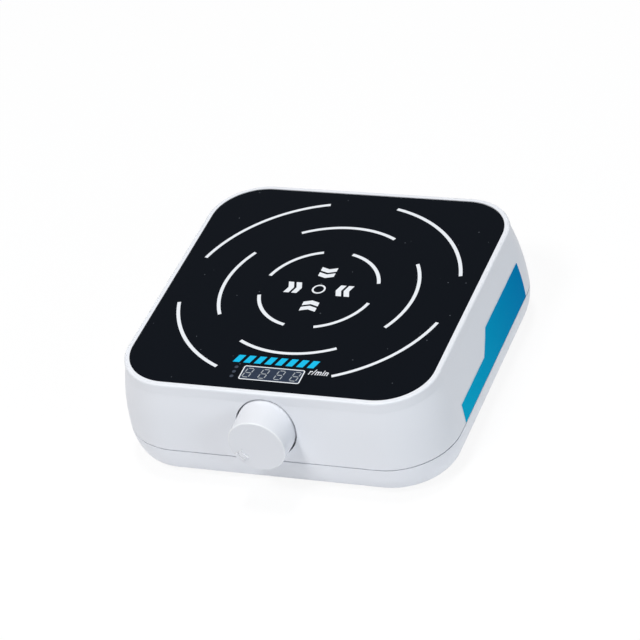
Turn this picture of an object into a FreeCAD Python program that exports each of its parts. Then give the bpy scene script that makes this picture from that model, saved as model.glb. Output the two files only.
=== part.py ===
import FreeCAD, Part
import math
import os

# A compact magnetic stirrer: a square moulded case, a flush glass plate, a speed knob and a magnet drive.
# Sizes are in millimetres. The origin is on the bench under the stirring axis, +Z is up, -Y is the front.

# Case
BODY_WIDTH = 160.0
CORNER_RADIUS = 30.2
OVERALL_HEIGHT = 51.0
SEAM_GAP = 0.6
WALL = 2.4
FLOOR = 2.5
BASE_BULGE = 28.4
BASE_FILLET = 5.0
BAND_HEIGHT = 5.1
BAND_INSET = 3.95
BAND_DRAFT = 0.55
LIP_WIDTH = 2.35
LIP_FILLET = 1.0
TONGUE_THICKNESS = 1.1
TONGUE_HEIGHT = 2.4
TONGUE_CLEARANCE = 0.15

# Glass and the deck that it lies on
GLASS_THICKNESS = 4.0
GLASS_GAP = 0.25
GLASS_EDGE = 0.3
ADHESIVE_THICKNESS = 0.5
ADHESIVE_INSET = 1.5
DECK_THICKNESS = 2.2
DRIVE_OPENING_RADIUS = 38.0
RIB_THICKNESS = 1.6
RIB_DEPTH = 3.3

# Side label
LABEL_THICKNESS = 0.15
LABEL_GLUE = 0.03
LABEL_FRONT = -43.5
LABEL_REAR = 48.0
LABEL_STEP_FRONT = -10.0
LABEL_STEP_REAR = 0.0
LABEL_LOW_TOP = 26.8
LABEL_HIGH_TOP = 36.1
LABEL_SEAM_MARGIN = 0.2

# Feet and case screws
FOOT_RADIUS = 8.0
FOOT_STANDOFF = 2.0
FOOT_POCKET_DEPTH = 1.3
FOOT_CHAMFER = 0.6
FOOT_CLEARANCE = 0.15
SCREW_BOSS_OFFSET = 12.2
SCREW_BOSS_RADIUS = 4.8
SCREW_PILOT_DEPTH = 10.0
CASE_SCREW_RADIUS = 1.5
CASE_SCREW_HEAD_RADIUS = 2.8
CASE_SCREW_HEAD_HEIGHT = 2.2
COUNTERBORE_DEPTH = 4.5
COUNTERBORE_CLEARANCE = 0.4
THREAD_CLEARANCE = 0.05
RECESS_WIDTH = 0.9
RECESS_LENGTH = 3.4
RECESS_DEPTH = 1.2

# Speed knob
KNOB_BELOW_TOP = 17.5
SEAM_BELOW_KNOB = 17.1
KNOB_HOLE_RADIUS = 14.65
KNOB_POCKET_DEPTH = 5.8
KNOB_PANEL = 2.2
KNOB_BACK_GAP = 0.5
KNOB_PROUD = 10.9
KNOB_BACK_RADIUS = 14.0
KNOB_FACE_RADIUS = 13.5
KNOB_FILLET = 0.7
KNOB_SKIRT = 2.0
KNOB_FACE = 2.5
KNOB_HUB_RADIUS = 5.0
KNOB_HUB_GAP = 0.8
KNOB_BORE_CLEARANCE = 0.03
MARK_ANGLE = 215.0
MARK_RADIUS = 7.5
MARK_HALF_WIDTH = 2.4
MARK_STROKE = 2.0
MARK_BEND = 0.8
MARK_PITCH = 2.5
MARK_HEIGHT = 0.7
MARK_ROOT = 0.5

# Potentiometer behind the knob
POT_WIDTH = 9.8
POT_DEPTH = 7.0
POT_WALL = 1.5
POT_CAVITY_RADIUS = 4.4
POT_SHAFT_RADIUS = 3.0
POT_SHAFT_LENGTH = 15.0
POT_FLAT = 1.5
POT_WIPER_RADIUS = 4.1
POT_WIPER_THICKNESS = 1.2
BUSHING_RADIUS = 3.5
BUSHING_LENGTH = 7.0
RUNNING_CLEARANCE = 0.05
BUSHING_HOLE_CLEARANCE = 0.1
POT_WASHER_RADIUS = 5.8
POT_WASHER_THICKNESS = 0.5
POT_NUT_FLATS = 10.0
POT_NUT_THICKNESS = 2.0
POT_PIN_PITCH = 2.5
POT_PIN_WIDTH = 0.8
POT_PIN_LENGTH = 2.0

# Display under the front of the glass
DISPLAY_SETBACK = 18.1
DISPLAY_LENGTH = 30.1
DISPLAY_DEPTH = 10.0
DISPLAY_HEIGHT = 6.1
DISPLAY_GLASS_GAP = 0.2
WINDOW_CLEARANCE = 0.45
LED_X = -18.25
LED_PITCH = 3.2
LED_RADIUS = 0.9
LED_CLEARANCE = 0.4
BOARD_THICKNESS = 1.6
DISPLAY_BOARD_LENGTH = 52.0
DISPLAY_BOARD_FRONT = 5.6
DISPLAY_BOARD_REAR = 15.0
DISPLAY_BOSS_INSET = 3.5
DISPLAY_BOSS_FRONT = 2.0
DISPLAY_BOSS_REAR = 11.5
DISPLAY_BOSS_RADIUS = 2.6
SMALL_SCREW_RADIUS = 1.1
SMALL_SCREW_HEAD_RADIUS = 2.0
SMALL_SCREW_HEAD_HEIGHT = 1.4
DISPLAY_SCREW_BITE = 3.0
SOCKET_LENGTH = 8.0
SOCKET_WIDTH = 6.0
SOCKET_HEIGHT = 6.0
DISPLAY_SOCKET_X = -14.0
DISPLAY_SOCKET_BEHIND = 9.0
DISPLAY_SOCKET_HEIGHT = 4.0

# Magnet drive, stacked down from the glass
MAGNET_GAP = 1.7
MAGNET_RADIUS = 9.0
MAGNET_HEIGHT = 8.0
MAGNET_CIRCLE = 22.0
MAGNET_CLEARANCE = 0.05
HOLDER_HEIGHT = 6.0
HOLDER_RIM = 2.95
YOKE_THICKNESS = 2.0
YOKE_MARGIN = 1.0
HUB_FLANGE_RADIUS = 11.0
HUB_FLANGE_THICKNESS = 2.5
HUB_RADIUS = 5.0
HUB_LENGTH = 6.8
HUB_SCREW_CIRCLE = 8.0
HUB_SCREW_BITE = 4.0
SET_SCREW_RADIUS = 1.4
SET_SCREW_LENGTH = 2.6
SET_SCREW_HEIGHT = 2.0
SHAFT_RADIUS = 2.0
SHAFT_ABOVE_HUB = 0.4
HUB_PLATE_GAP = 2.5

# Motor and its rubber-mounted plate
PLATE_WIDTH = 60.0
PLATE_THICKNESS = 2.0
PLATE_CORNER = 6.0
PLATE_HOLE_OFFSET = 24.0
GROMMET_RADIUS = 4.5
GROMMET_NECK_RADIUS = 3.0
GROMMET_BELOW = 2.0
GROMMET_ABOVE = 1.5
GROMMET_CLEARANCE = 0.1
POST_RADIUS = 4.5
PLATE_SCREW_BITE = 10.0
MOTOR_RADIUS = 18.5
MOTOR_FLOOR_GAP = 3.0
MOTOR_WALL = 1.0
MOTOR_FACE = 2.0
MOTOR_BOSS_RADIUS = 6.1
MOTOR_BOSS_HEIGHT = 1.5
MOTOR_SCREW_CIRCLE = 12.5
MOTOR_SCREW_BITE = 1.6
BEARING_RADIUS = 5.0
BEARING_CLEARANCE = 0.05
UPPER_BEARING_HEIGHT = 3.5
LOWER_BEARING_HEIGHT = 3.0
END_CAP_THICKNESS = 1.5
END_CAP_SKIN = 0.6
END_CAP_HUB_RADIUS = 6.5
END_CAP_HUB_HEIGHT = 2.0
SPIGOT_WIDTH = 2.0
SPIGOT_HEIGHT = 1.5
STATOR_INNER_RADIUS = 11.0
STATOR_END_GAP = 1.5
STATOR_SLOTS = 9
STATOR_SLOT_WIDTH = 2.0
STATOR_SLOT_DEPTH = 4.2
ROTOR_GAP = 0.6
TERMINAL_LENGTH = 3.5
TERMINAL_WIDTH = 8.0
TERMINAL_HEIGHT = 5.0

# Control board on the left of the floor
BOARD_WIDTH = 35.0
BOARD_LENGTH = 80.0
BOARD_WALL_GAP = 5.6
BOARD_STANDOFF = 4.5
BOARD_POST_RADIUS = 3.0
BOARD_POST_INSET = 3.5
BOARD_SCREW_BITE = 3.2
SIDE_SOCKET_INSET = 12.0
CAPACITOR_RADIUS = 4.0
CAPACITOR_HEIGHT = 11.0
CAPACITOR_PITCH = 11.0
CAPACITOR_INSET = 10.0
CHIP_WIDTH = 9.0
CHIP_HEIGHT = 1.4
CHIP_OFFSET = 16.0
CHIP_INSET = 20.0

# Rear pad with the inlet and the power switch
REAR_HEIGHT = 30.0
REAR_RECESS_DEPTH = 4.2
REAR_PANEL = 2.2
REAR_PAD_WIDTH = 58.0
REAR_PAD_HEIGHT = 18.0
REAR_PAD_CORNER = 3.0
JACK_X = -15.0
JACK_FLANGE_RADIUS = 5.8
JACK_FLANGE = 2.0
JACK_RADIUS = 4.0
JACK_LENGTH = 13.8
JACK_BORE_RADIUS = 2.85
JACK_BORE_DEPTH = 10.3
JACK_PIN_RADIUS = 1.05
JACK_PIN_RECESS = 1.2
JACK_PIN_ROOT = 2.0
JACK_NUT_FLATS = 11.0
JACK_NUT_THICKNESS = 2.0
PANEL_CLEARANCE = 0.1
TAB_LENGTH = 4.0
TAB_WIDTH = 2.4
TAB_THICKNESS = 0.6
JACK_TAB_PITCH = 4.0
SWITCH_X = 14.0
SWITCH_FLANGE = 1.6
SWITCH_FLANGE_MARGIN = 1.3
SWITCH_WALL = 1.05
SWITCH_DEPTH = 11.8
SWITCH_FLOOR = 3.0
SWITCH_OPENING_GAP = 0.35
SWITCH_TAB_PITCH = 7.0
ROCKER_RADIUS = 5.9
ROCKER_HALF_HEIGHT = 3.3
ROCKER_SIDE_GAP = 0.3
ROCKER_PIVOT_DEPTH = 0.4
ROCKER_CROWN = 2.2
ROCKER_BELOW = 3.2
ROCKER_TILT = 10.0
TRUNNION_RADIUS = 0.9
TRUNNION_LENGTH = 0.9
TRUNNION_END_GAP = 0.1

# Leads inside the case
LEAD_RADIUS = 1.3
PLUG_LENGTH = 3.0
PLUG_MARGIN = 0.5
PLUG_RUN = 5.0
BEND_SHARE = 0.45
DISPLAY_LEAD_STEPS = [(0.0, 0.0, -10.1), (-2.0, 8.9, -17.6), (-9.0, 19.9, -19.1)]
SPEED_LEAD_STEPS = [(0.0, 0.0, -7.6), (-12.0, 6.5, -14.6), (-32.0, 10.5, -15.6)]
SPEED_LEAD_TURN = (2.0, -12.0, -4.1)
INLET_LEAD_STEPS = [(0.0, -8.0, 0.0), (-3.0, -16.0, -8.0), (-9.0, -22.0, -15.5)]
SWITCH_LEAD_STEPS = [(0.0, -9.0, -3.0), (-10.0, -9.0, -16.0), (-30.0, -5.0, -21.0), (-50.0, -2.0, -21.5)]
SWITCH_LEAD_TURN = (2.0, 10.0, -3.6)

# Heights and places that follow from the sizes above
BODY_HALF = BODY_WIDTH / 2
KNOB_HEIGHT = OVERALL_HEIGHT - KNOB_BELOW_TOP
SEAM_HEIGHT = KNOB_HEIGHT - SEAM_BELOW_KNOB
CORNER_AT = BODY_HALF - CORNER_RADIUS
BASE_BOTTOM = FOOT_STANDOFF
FLOOR_TOP = BASE_BOTTOM + FLOOR
HOUSING_BOTTOM = SEAM_HEIGHT + SEAM_GAP / 2
BASE_TOP = SEAM_HEIGHT - SEAM_GAP / 2
TONGUE_TOP = BASE_TOP + TONGUE_HEIGHT
INNER_RADIUS = CORNER_RADIUS - WALL
BAND_BOTTOM = OVERALL_HEIGHT - BAND_HEIGHT
BAND_RISE = BAND_BOTTOM - SEAM_HEIGHT
WALL_CURVE = (BAND_RISE ** 2 + BAND_INSET ** 2) / (2 * BAND_INSET)
WALL_CENTRE = CORNER_RADIUS - WALL_CURVE
BASE_CENTRE = CORNER_RADIUS - BASE_BULGE
LIP_RADIUS = CORNER_RADIUS - BAND_INSET - BAND_DRAFT
POCKET_RADIUS = LIP_RADIUS - LIP_WIDTH
GLASS_RADIUS = POCKET_RADIUS - GLASS_GAP
GLASS_BOTTOM = OVERALL_HEIGHT - GLASS_THICKNESS
SEAT = GLASS_BOTTOM - ADHESIVE_THICKNESS
DECK_BOTTOM = SEAT - DECK_THICKNESS
SCREW_AT = CORNER_AT + SCREW_BOSS_OFFSET
SCREW_SEAT = BASE_BOTTOM + COUNTERBORE_DEPTH
CASE_SCREW_LENGTH = SEAM_HEIGHT + SCREW_PILOT_DEPTH - SCREW_SEAT
POCKET_FRONT = BODY_HALF - KNOB_POCKET_DEPTH
PANEL_BACK = POCKET_FRONT - KNOB_PANEL
KNOB_BACK = POCKET_FRONT + KNOB_BACK_GAP
KNOB_FRONT = BODY_HALF + KNOB_PROUD
BUSHING_END = PANEL_BACK + BUSHING_LENGTH
SHAFT_END = PANEL_BACK + POT_SHAFT_LENGTH
HUB_BACK = BUSHING_END + KNOB_HUB_GAP
POT_BACK = PANEL_BACK - POT_DEPTH
POT_BOTTOM = KNOB_HEIGHT - POT_WIDTH / 2
DISPLAY_Y = DISPLAY_SETBACK - BODY_HALF
DISPLAY_BOSS_X = DISPLAY_BOARD_LENGTH / 2 - DISPLAY_BOSS_INSET
DISPLAY_TOP = GLASS_BOTTOM - DISPLAY_GLASS_GAP
DISPLAY_BOARD_TOP = DISPLAY_TOP - DISPLAY_HEIGHT
DISPLAY_BOARD_BOTTOM = DISPLAY_BOARD_TOP - BOARD_THICKNESS
MAGNET_TOP = GLASS_BOTTOM - MAGNET_GAP
YOKE_TOP = MAGNET_TOP - MAGNET_HEIGHT
YOKE_BOTTOM = YOKE_TOP - YOKE_THICKNESS
FLANGE_BOTTOM = YOKE_BOTTOM - HUB_FLANGE_THICKNESS
HUB_BOTTOM = YOKE_BOTTOM - HUB_LENGTH
PLATE_TOP = HUB_BOTTOM - HUB_PLATE_GAP
PLATE_BOTTOM = PLATE_TOP - PLATE_THICKNESS
POST_TOP = PLATE_BOTTOM - GROMMET_BELOW
MOTOR_INNER = MOTOR_RADIUS - MOTOR_WALL
END_CAP_BOTTOM = FLOOR_TOP + MOTOR_FLOOR_GAP
MOTOR_BOTTOM = END_CAP_BOTTOM + END_CAP_THICKNESS
LOWER_BEARING_BOTTOM = END_CAP_BOTTOM + END_CAP_SKIN
STATOR_BOTTOM = MOTOR_BOTTOM + END_CAP_HUB_HEIGHT + STATOR_END_GAP
STATOR_TOP = PLATE_BOTTOM - MOTOR_FACE - STATOR_END_GAP
BOARD_LEFT = BOARD_WALL_GAP + WALL - BODY_HALF
BOARD_RIGHT = BOARD_LEFT + BOARD_WIDTH
BOARD_BOTTOM = FLOOR_TOP + BOARD_STANDOFF
BOARD_TOP = BOARD_BOTTOM + BOARD_THICKNESS
BOARD_MIDDLE = (BOARD_LEFT + BOARD_RIGHT) / 2
SOCKET_MIDDLE = BOARD_TOP + SOCKET_HEIGHT / 2
SIDE_SOCKET_OFFSET = BOARD_LENGTH / 2 - SIDE_SOCKET_INSET
REAR_FACE = BODY_HALF - REAR_RECESS_DEPTH
REAR_BACK = REAR_FACE - REAR_PANEL
JACK_MOUTH = REAR_FACE + JACK_FLANGE
JACK_END = REAR_FACE - JACK_LENGTH
SWITCH_END = REAR_FACE - SWITCH_DEPTH
SWITCH_HALF_X = ROCKER_RADIUS + SWITCH_OPENING_GAP + SWITCH_WALL
SWITCH_HALF_Z = ROCKER_HALF_HEIGHT + ROCKER_SIDE_GAP + SWITCH_WALL + TRUNNION_END_GAP
PIVOT_Y = REAR_FACE - ROCKER_PIVOT_DEPTH

CORNERS = [(1, 1), (-1, 1), (-1, -1), (1, -1)]
UP = FreeCAD.Vector(0, 0, 1)
ORIGIN = FreeCAD.Vector(0, 0, 0)


def box(x0, x1, y0, y1, z0, z1):
    return Part.makeBox(x1 - x0, y1 - y0, z1 - z0, FreeCAD.Vector(x0, y0, z0))


def rod(radius, z0, z1, x=0.0, y=0.0):
    return Part.makeCylinder(radius, z1 - z0, FreeCAD.Vector(x, y, z0))


def ring(outer, inner, z0, z1, x=0.0, y=0.0):
    return rod(outer, z0, z1, x, y).cut(rod(inner, z0, z1, x, y))


def prism(points, z0, z1):
    """Extrude a closed outline of (x, y) points from z0 up to z1."""
    corners = [FreeCAD.Vector(x, y, z0) for x, y in points]
    face = Part.Face(Part.makePolygon(corners + corners[:1]))
    return face.extrude(FreeCAD.Vector(0, 0, z1 - z0))


def turned(points):
    """Turn a closed outline of (radius, height) points about the Z axis."""
    corners = [FreeCAD.Vector(radius, 0, z) for radius, z in points]
    face = Part.Face(Part.makePolygon(corners + corners[:1]))
    return face.revolve(ORIGIN, UP, 360)


def hexagon(across_flats, z0, z1):
    reach = across_flats / math.sqrt(3)
    angles = [math.radians(60 * side) for side in range(6)]
    return prism([(reach * math.cos(a), reach * math.sin(a)) for a in angles], z0, z1)


def stadium(half_pitch, radius, z0, z1):
    """A bar with round ends along X."""
    ends = [rod(radius, z0, z1, side * half_pitch) for side in (-1, 1)]
    return box(-half_pitch, half_pitch, -radius, radius, z0, z1).multiFuse(ends).removeSplitter()


def moved(shape, x=0.0, y=0.0, z=0.0):
    return shape.translated(FreeCAD.Vector(x, y, z))


def turned_by(shape, angle, centre=ORIGIN, axis=UP):
    copy = shape.copy()
    copy.rotate(centre, axis, angle)
    return copy


def front(shape):
    """Stand a piece drawn along Z on the knob's axis: its z becomes the reach forward of the stirring axis."""
    laid = turned_by(shape, 90, ORIGIN, FreeCAD.Vector(1, 0, 0))
    return moved(laid, 0, 0, KNOB_HEIGHT)


def rear(shape, x):
    """Stand a piece drawn along Z on an axis of the rear pad: its z becomes the reach behind the axis."""
    laid = turned_by(shape, -90, ORIGIN, FreeCAD.Vector(1, 0, 0))
    return moved(laid, x, 0, REAR_HEIGHT)


def screw(head_radius, head_height, shank_radius, length):
    """A screw whose head lies below z = 0 and whose shank rises above it."""
    return turned([
        (0, -head_height),
        (head_radius, -head_height),
        (head_radius, 0),
        (shank_radius, 0),
        (shank_radius, length),
        (0, length),
    ])


def flipped(shape):
    return turned_by(shape, 180, ORIGIN, FreeCAD.Vector(1, 0, 0))


def at_corners(shape, x, y=None):
    """Copies of a piece at the four corners of a rectangle."""
    along = x if y is None else y
    return [moved(shape, sx * x, sy * along) for sx, sy in CORNERS]


def line(a, b):
    return Part.LineSegment(FreeCAD.Vector(a[0], 0, a[1]), FreeCAD.Vector(b[0], 0, b[1])).toShape()


def arc(a, middle, b):
    points = [FreeCAD.Vector(p[0], 0, p[1]) for p in (a, middle, b)]
    return Part.Arc(*points).toShape()


def round_corner(before, corner, after, radius):
    """Start, middle and end of an arc that rounds the corner between two straight runs."""
    ends = []
    for other in (before, after):
        length = math.hypot(other[0] - corner[0], other[1] - corner[1])
        ends.append(((other[0] - corner[0]) / length, (other[1] - corner[1]) / length))
    (ax, ay), (bx, by) = ends
    half = math.acos(ax * bx + ay * by) / 2
    tangent = radius / math.tan(half)
    length = math.hypot(ax + bx, ay + by)
    depth = radius / math.sin(half) - radius
    start = (corner[0] + ax * tangent, corner[1] + ay * tangent)
    middle = (corner[0] + (ax + bx) / length * depth, corner[1] + (ay + by) / length * depth)
    end = (corner[0] + bx * tangent, corner[1] + by * tangent)
    return start, middle, end


def case_solid(edges, low, high):
    """Carry a half profile, drawn outward from a corner axis, all the way round the square case."""
    face = Part.Face(Part.Wire(edges))
    axis = FreeCAD.Vector(CORNER_AT, CORNER_AT, 0)
    corner = face.translated(axis).revolve(axis, UP, 90)
    side = moved(face, CORNER_AT, -CORNER_AT).extrude(FreeCAD.Vector(0, 2 * CORNER_AT, 0))
    middle = box(-CORNER_AT, CORNER_AT, -CORNER_AT, CORNER_AT, low, high)
    sweeps = [turned_by(piece, 90 * quarter) for quarter in range(4) for piece in (corner, side)]
    return middle.multiFuse(sweeps).removeSplitter()


def slab(radius, low, high):
    """A flat plate with the case's outline, its corners rounded to the radius given."""
    corners = [(0, low), (radius, low), (radius, high), (0, high)]
    edges = [line(a, b) for a, b in zip(corners, corners[1:] + corners[:1])]
    return case_solid(edges, low, high)


def wall_at(z, inset=0.0):
    """Distance of the upper wall from its corner axis at a height."""
    return WALL_CENTRE + math.sqrt((WALL_CURVE - inset) ** 2 - (z - SEAM_HEIGHT) ** 2)


def base_at(z, inset=0.0):
    """Distance of the lower wall from its corner axis at a height."""
    return BASE_CENTRE + math.sqrt((BASE_BULGE - inset) ** 2 - (SEAM_HEIGHT - z) ** 2)


def housing_outside():
    low = (wall_at(HOUSING_BOTTOM), HOUSING_BOTTOM)
    half_way = (HOUSING_BOTTOM + BAND_BOTTOM) / 2
    crease = (CORNER_RADIUS - BAND_INSET, BAND_BOTTOM)
    lip = (LIP_RADIUS, OVERALL_HEIGHT)
    top = (0, OVERALL_HEIGHT)
    bottom = (0, HOUSING_BOTTOM)
    start, middle, end = round_corner(crease, lip, top, LIP_FILLET)
    edges = [
        line(bottom, low),
        arc(low, (wall_at(half_way), half_way), crease),
        line(crease, start),
        arc(start, middle, end),
        line(end, top),
        line(top, bottom),
    ]
    return case_solid(edges, HOUSING_BOTTOM, OVERALL_HEIGHT)


def housing_cavity():
    below = HOUSING_BOTTOM - WALL
    half_way = (SEAM_HEIGHT + DECK_BOTTOM) / 2
    foot = (INNER_RADIUS, below)
    knee = (INNER_RADIUS, SEAM_HEIGHT)
    shoulder = (wall_at(DECK_BOTTOM, WALL), DECK_BOTTOM)
    edges = [
        line((0, below), foot),
        line(foot, knee),
        arc(knee, (wall_at(half_way, WALL), half_way), shoulder),
        line(shoulder, (0, DECK_BOTTOM)),
        line((0, DECK_BOTTOM), (0, below)),
    ]
    return case_solid(edges, below, DECK_BOTTOM)


def base_outside():
    rise = SEAM_HEIGHT - BASE_BOTTOM - BASE_FILLET
    reach = math.sqrt((BASE_BULGE - BASE_FILLET) ** 2 - rise ** 2)
    centre = (BASE_CENTRE + reach, BASE_BOTTOM + BASE_FILLET)
    slope = math.atan2(rise, reach)
    middle_slope = (slope + math.pi / 2) / 2
    toe = (centre[0], BASE_BOTTOM)
    bend = (centre[0] + BASE_FILLET * math.cos(middle_slope), centre[1] - BASE_FILLET * math.sin(middle_slope))
    join = (BASE_CENTRE + BASE_BULGE * math.cos(slope), SEAM_HEIGHT - BASE_BULGE * math.sin(slope))
    rim = (base_at(BASE_TOP), BASE_TOP)
    half_way = (join[1] + BASE_TOP) / 2
    edges = [
        line((0, BASE_BOTTOM), toe),
        arc(toe, bend, join),
        arc(join, (base_at(half_way), half_way), rim),
        line(rim, (0, BASE_TOP)),
        line((0, BASE_TOP), (0, BASE_BOTTOM)),
    ]
    return case_solid(edges, BASE_BOTTOM, BASE_TOP)


def base_cavity():
    above = TONGUE_TOP + WALL
    half_way = (FLOOR_TOP + SEAM_HEIGHT) / 2
    toe = (base_at(FLOOR_TOP, WALL), FLOOR_TOP)
    knee = (INNER_RADIUS, SEAM_HEIGHT)
    edges = [
        line((0, FLOOR_TOP), toe),
        arc(toe, (base_at(half_way, WALL), half_way), knee),
        line(knee, (INNER_RADIUS, above)),
        line((INNER_RADIUS, above), (0, above)),
        line((0, above), (0, FLOOR_TOP)),
    ]
    return case_solid(edges, FLOOR_TOP, above)


def window_cut(low, high):
    """The opening over the display and the slot over the indicator lights."""
    half_length = DISPLAY_LENGTH / 2 + WINDOW_CLEARANCE
    half_depth = DISPLAY_DEPTH / 2 + WINDOW_CLEARANCE
    window = box(-half_length, half_length, DISPLAY_Y - half_depth, DISPLAY_Y + half_depth, low, high)
    slot = turned_by(stadium(LED_PITCH, LED_RADIUS + LED_CLEARANCE, low, high), 90)
    return [window, moved(slot, LED_X, DISPLAY_Y)]


def display_boss_places():
    rows = (DISPLAY_Y - DISPLAY_BOSS_FRONT, DISPLAY_Y + DISPLAY_BOSS_REAR)
    return [(side * DISPLAY_BOSS_X, y) for side in (-1, 1) for y in rows]


def rear_pad(half_width, half_height, corner, y0, y1):
    """A block with rounded corners, square to the rear wall."""
    upright = []
    for across, tall in ((half_width, half_height - corner), (half_width - corner, half_height)):
        upright.append(box(-across, across, -tall, tall, y0, y1))
    ends = at_corners(rod(corner, y0, y1), half_width - corner, half_height - corner)
    block = upright[0].multiFuse(upright[1:] + ends).removeSplitter()
    return rear(block, 0)


def top_housing():
    outside = housing_outside()
    boss_radius = KNOB_HOLE_RADIUS + KNOB_PANEL
    knob_boss = front(rod(boss_radius, PANEL_BACK, BODY_HALF)).common(outside)
    pad_half = REAR_PAD_WIDTH / 2
    pad_rise = REAR_PAD_HEIGHT / 2
    pad = rear_pad(pad_half + REAR_PANEL, pad_rise + REAR_PANEL, REAR_PAD_CORNER, REAR_BACK, BODY_HALF)
    rib_bottom = DECK_BOTTOM - RIB_DEPTH
    collar_radius = DRIVE_OPENING_RADIUS + RIB_THICKNESS
    rib_end = CORNER_AT + wall_at(DECK_BOTTOM, WALL / 2)
    half_rib = RIB_THICKNESS / 2
    side_rib = box(collar_radius - half_rib, rib_end, -half_rib, half_rib, rib_bottom, DECK_BOTTOM)
    diagonal = box(
        collar_radius - half_rib, SCREW_AT * math.sqrt(2), -half_rib, half_rib, rib_bottom, DECK_BOTTOM
    )
    inside = [knob_boss, pad.common(outside), rod(collar_radius, rib_bottom, DECK_BOTTOM)]
    inside += [turned_by(side_rib, angle) for angle in (0, 90, 180)]
    inside += [turned_by(diagonal, angle) for angle in (45, 135, 225, 315)]
    inside += at_corners(rod(SCREW_BOSS_RADIUS, SEAM_HEIGHT, DECK_BOTTOM), SCREW_AT)
    inside += [rod(DISPLAY_BOSS_RADIUS, DISPLAY_BOARD_TOP, DECK_BOTTOM, x, y) for x, y in display_boss_places()]
    shell = outside.cut(housing_cavity()).multiFuse(inside)
    pilot = rod(CASE_SCREW_RADIUS + THREAD_CLEARANCE, SEAM_HEIGHT, SEAM_HEIGHT + SCREW_PILOT_DEPTH + WALL)
    small_pilot = SMALL_SCREW_RADIUS + THREAD_CLEARANCE
    bite_top = DISPLAY_BOARD_TOP + DISPLAY_SCREW_BITE
    rebate_top = TONGUE_TOP + TONGUE_CLEARANCE
    rebate = slab(INNER_RADIUS + TONGUE_THICKNESS + TONGUE_CLEARANCE, BASE_TOP, rebate_top)
    rebate = rebate.cut(slab(INNER_RADIUS - TONGUE_CLEARANCE, BASE_TOP, rebate_top))
    cuts = [
        slab(POCKET_RADIUS, SEAT, OVERALL_HEIGHT + LIP_FILLET),
        rebate,
        rod(DRIVE_OPENING_RADIUS, rib_bottom, SEAT + GLASS_THICKNESS),
        front(rod(KNOB_HOLE_RADIUS, POCKET_FRONT, KNOB_FRONT)),
        front(rod(BUSHING_RADIUS + BUSHING_HOLE_CLEARANCE, PANEL_BACK, POCKET_FRONT)),
        rear_pad(pad_half, pad_rise, REAR_PAD_CORNER, REAR_FACE, BODY_HALF + REAR_PANEL),
        rear(rod(JACK_RADIUS + PANEL_CLEARANCE, REAR_BACK, REAR_FACE), JACK_X),
        box(
            SWITCH_X - SWITCH_HALF_X - PANEL_CLEARANCE, SWITCH_X + SWITCH_HALF_X + PANEL_CLEARANCE,
            REAR_BACK, REAR_FACE,
            REAR_HEIGHT - SWITCH_HALF_Z - PANEL_CLEARANCE, REAR_HEIGHT + SWITCH_HALF_Z + PANEL_CLEARANCE,
        ),
    ]
    cuts += window_cut(DECK_BOTTOM, SEAT)
    cuts += at_corners(pilot, SCREW_AT)
    cuts += [rod(small_pilot, DISPLAY_BOARD_TOP, bite_top, x, y) for x, y in display_boss_places()]
    return shell.cut(cuts).removeSplitter()


def post_places():
    return [(sx * PLATE_HOLE_OFFSET, sy * PLATE_HOLE_OFFSET) for sx, sy in CORNERS]


def board_post_places():
    across = BOARD_WIDTH / 2 - BOARD_POST_INSET
    along = BOARD_LENGTH / 2 - BOARD_POST_INSET
    return [(BOARD_MIDDLE + sx * across, sy * along) for sx, sy in CORNERS]


def base_shell():
    tongue = slab(INNER_RADIUS + TONGUE_THICKNESS, SEAM_HEIGHT - TONGUE_HEIGHT, TONGUE_TOP)
    inside = at_corners(rod(SCREW_BOSS_RADIUS, BASE_BOTTOM, SEAM_HEIGHT), SCREW_AT)
    inside += [rod(POST_RADIUS, BASE_BOTTOM, POST_TOP, x, y) for x, y in post_places()]
    inside += [rod(BOARD_POST_RADIUS, BASE_BOTTOM, BOARD_BOTTOM, x, y) for x, y in board_post_places()]
    shell = base_outside().fuse(tongue).cut(base_cavity()).multiFuse(inside)
    through = CASE_SCREW_RADIUS + THREAD_CLEARANCE
    small_pilot = SMALL_SCREW_RADIUS + THREAD_CLEARANCE
    post_pilot_bottom = POST_TOP - PLATE_SCREW_BITE
    cuts = at_corners(rod(through, BASE_BOTTOM, SEAM_HEIGHT), SCREW_AT)
    cuts += at_corners(rod(CASE_SCREW_HEAD_RADIUS + COUNTERBORE_CLEARANCE, BASE_BOTTOM, SCREW_SEAT), SCREW_AT)
    cuts += at_corners(
        rod(FOOT_RADIUS + FOOT_CLEARANCE, BASE_BOTTOM, BASE_BOTTOM + FOOT_POCKET_DEPTH), CORNER_AT
    )
    cuts += [rod(through, post_pilot_bottom, POST_TOP, x, y) for x, y in post_places()]
    cuts += [
        rod(small_pilot, BOARD_BOTTOM - BOARD_SCREW_BITE, BOARD_BOTTOM, x, y) for x, y in board_post_places()
    ]
    return shell.cut(cuts).removeSplitter()


def glass_plate():
    plate = slab(GLASS_RADIUS, GLASS_BOTTOM, OVERALL_HEIGHT)
    rim = [
        edge for edge in plate.Edges
        if abs(edge.BoundBox.ZMin - OVERALL_HEIGHT) < GLASS_EDGE and edge.BoundBox.ZLength < GLASS_EDGE
    ]
    return plate.makeChamfer(GLASS_EDGE, rim)


def glass_adhesive():
    film = slab(GLASS_RADIUS - ADHESIVE_INSET, SEAT, GLASS_BOTTOM)
    cuts = [rod(DRIVE_OPENING_RADIUS, SEAT, GLASS_BOTTOM)] + window_cut(SEAT, GLASS_BOTTOM)
    return film.cut(cuts)


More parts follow.
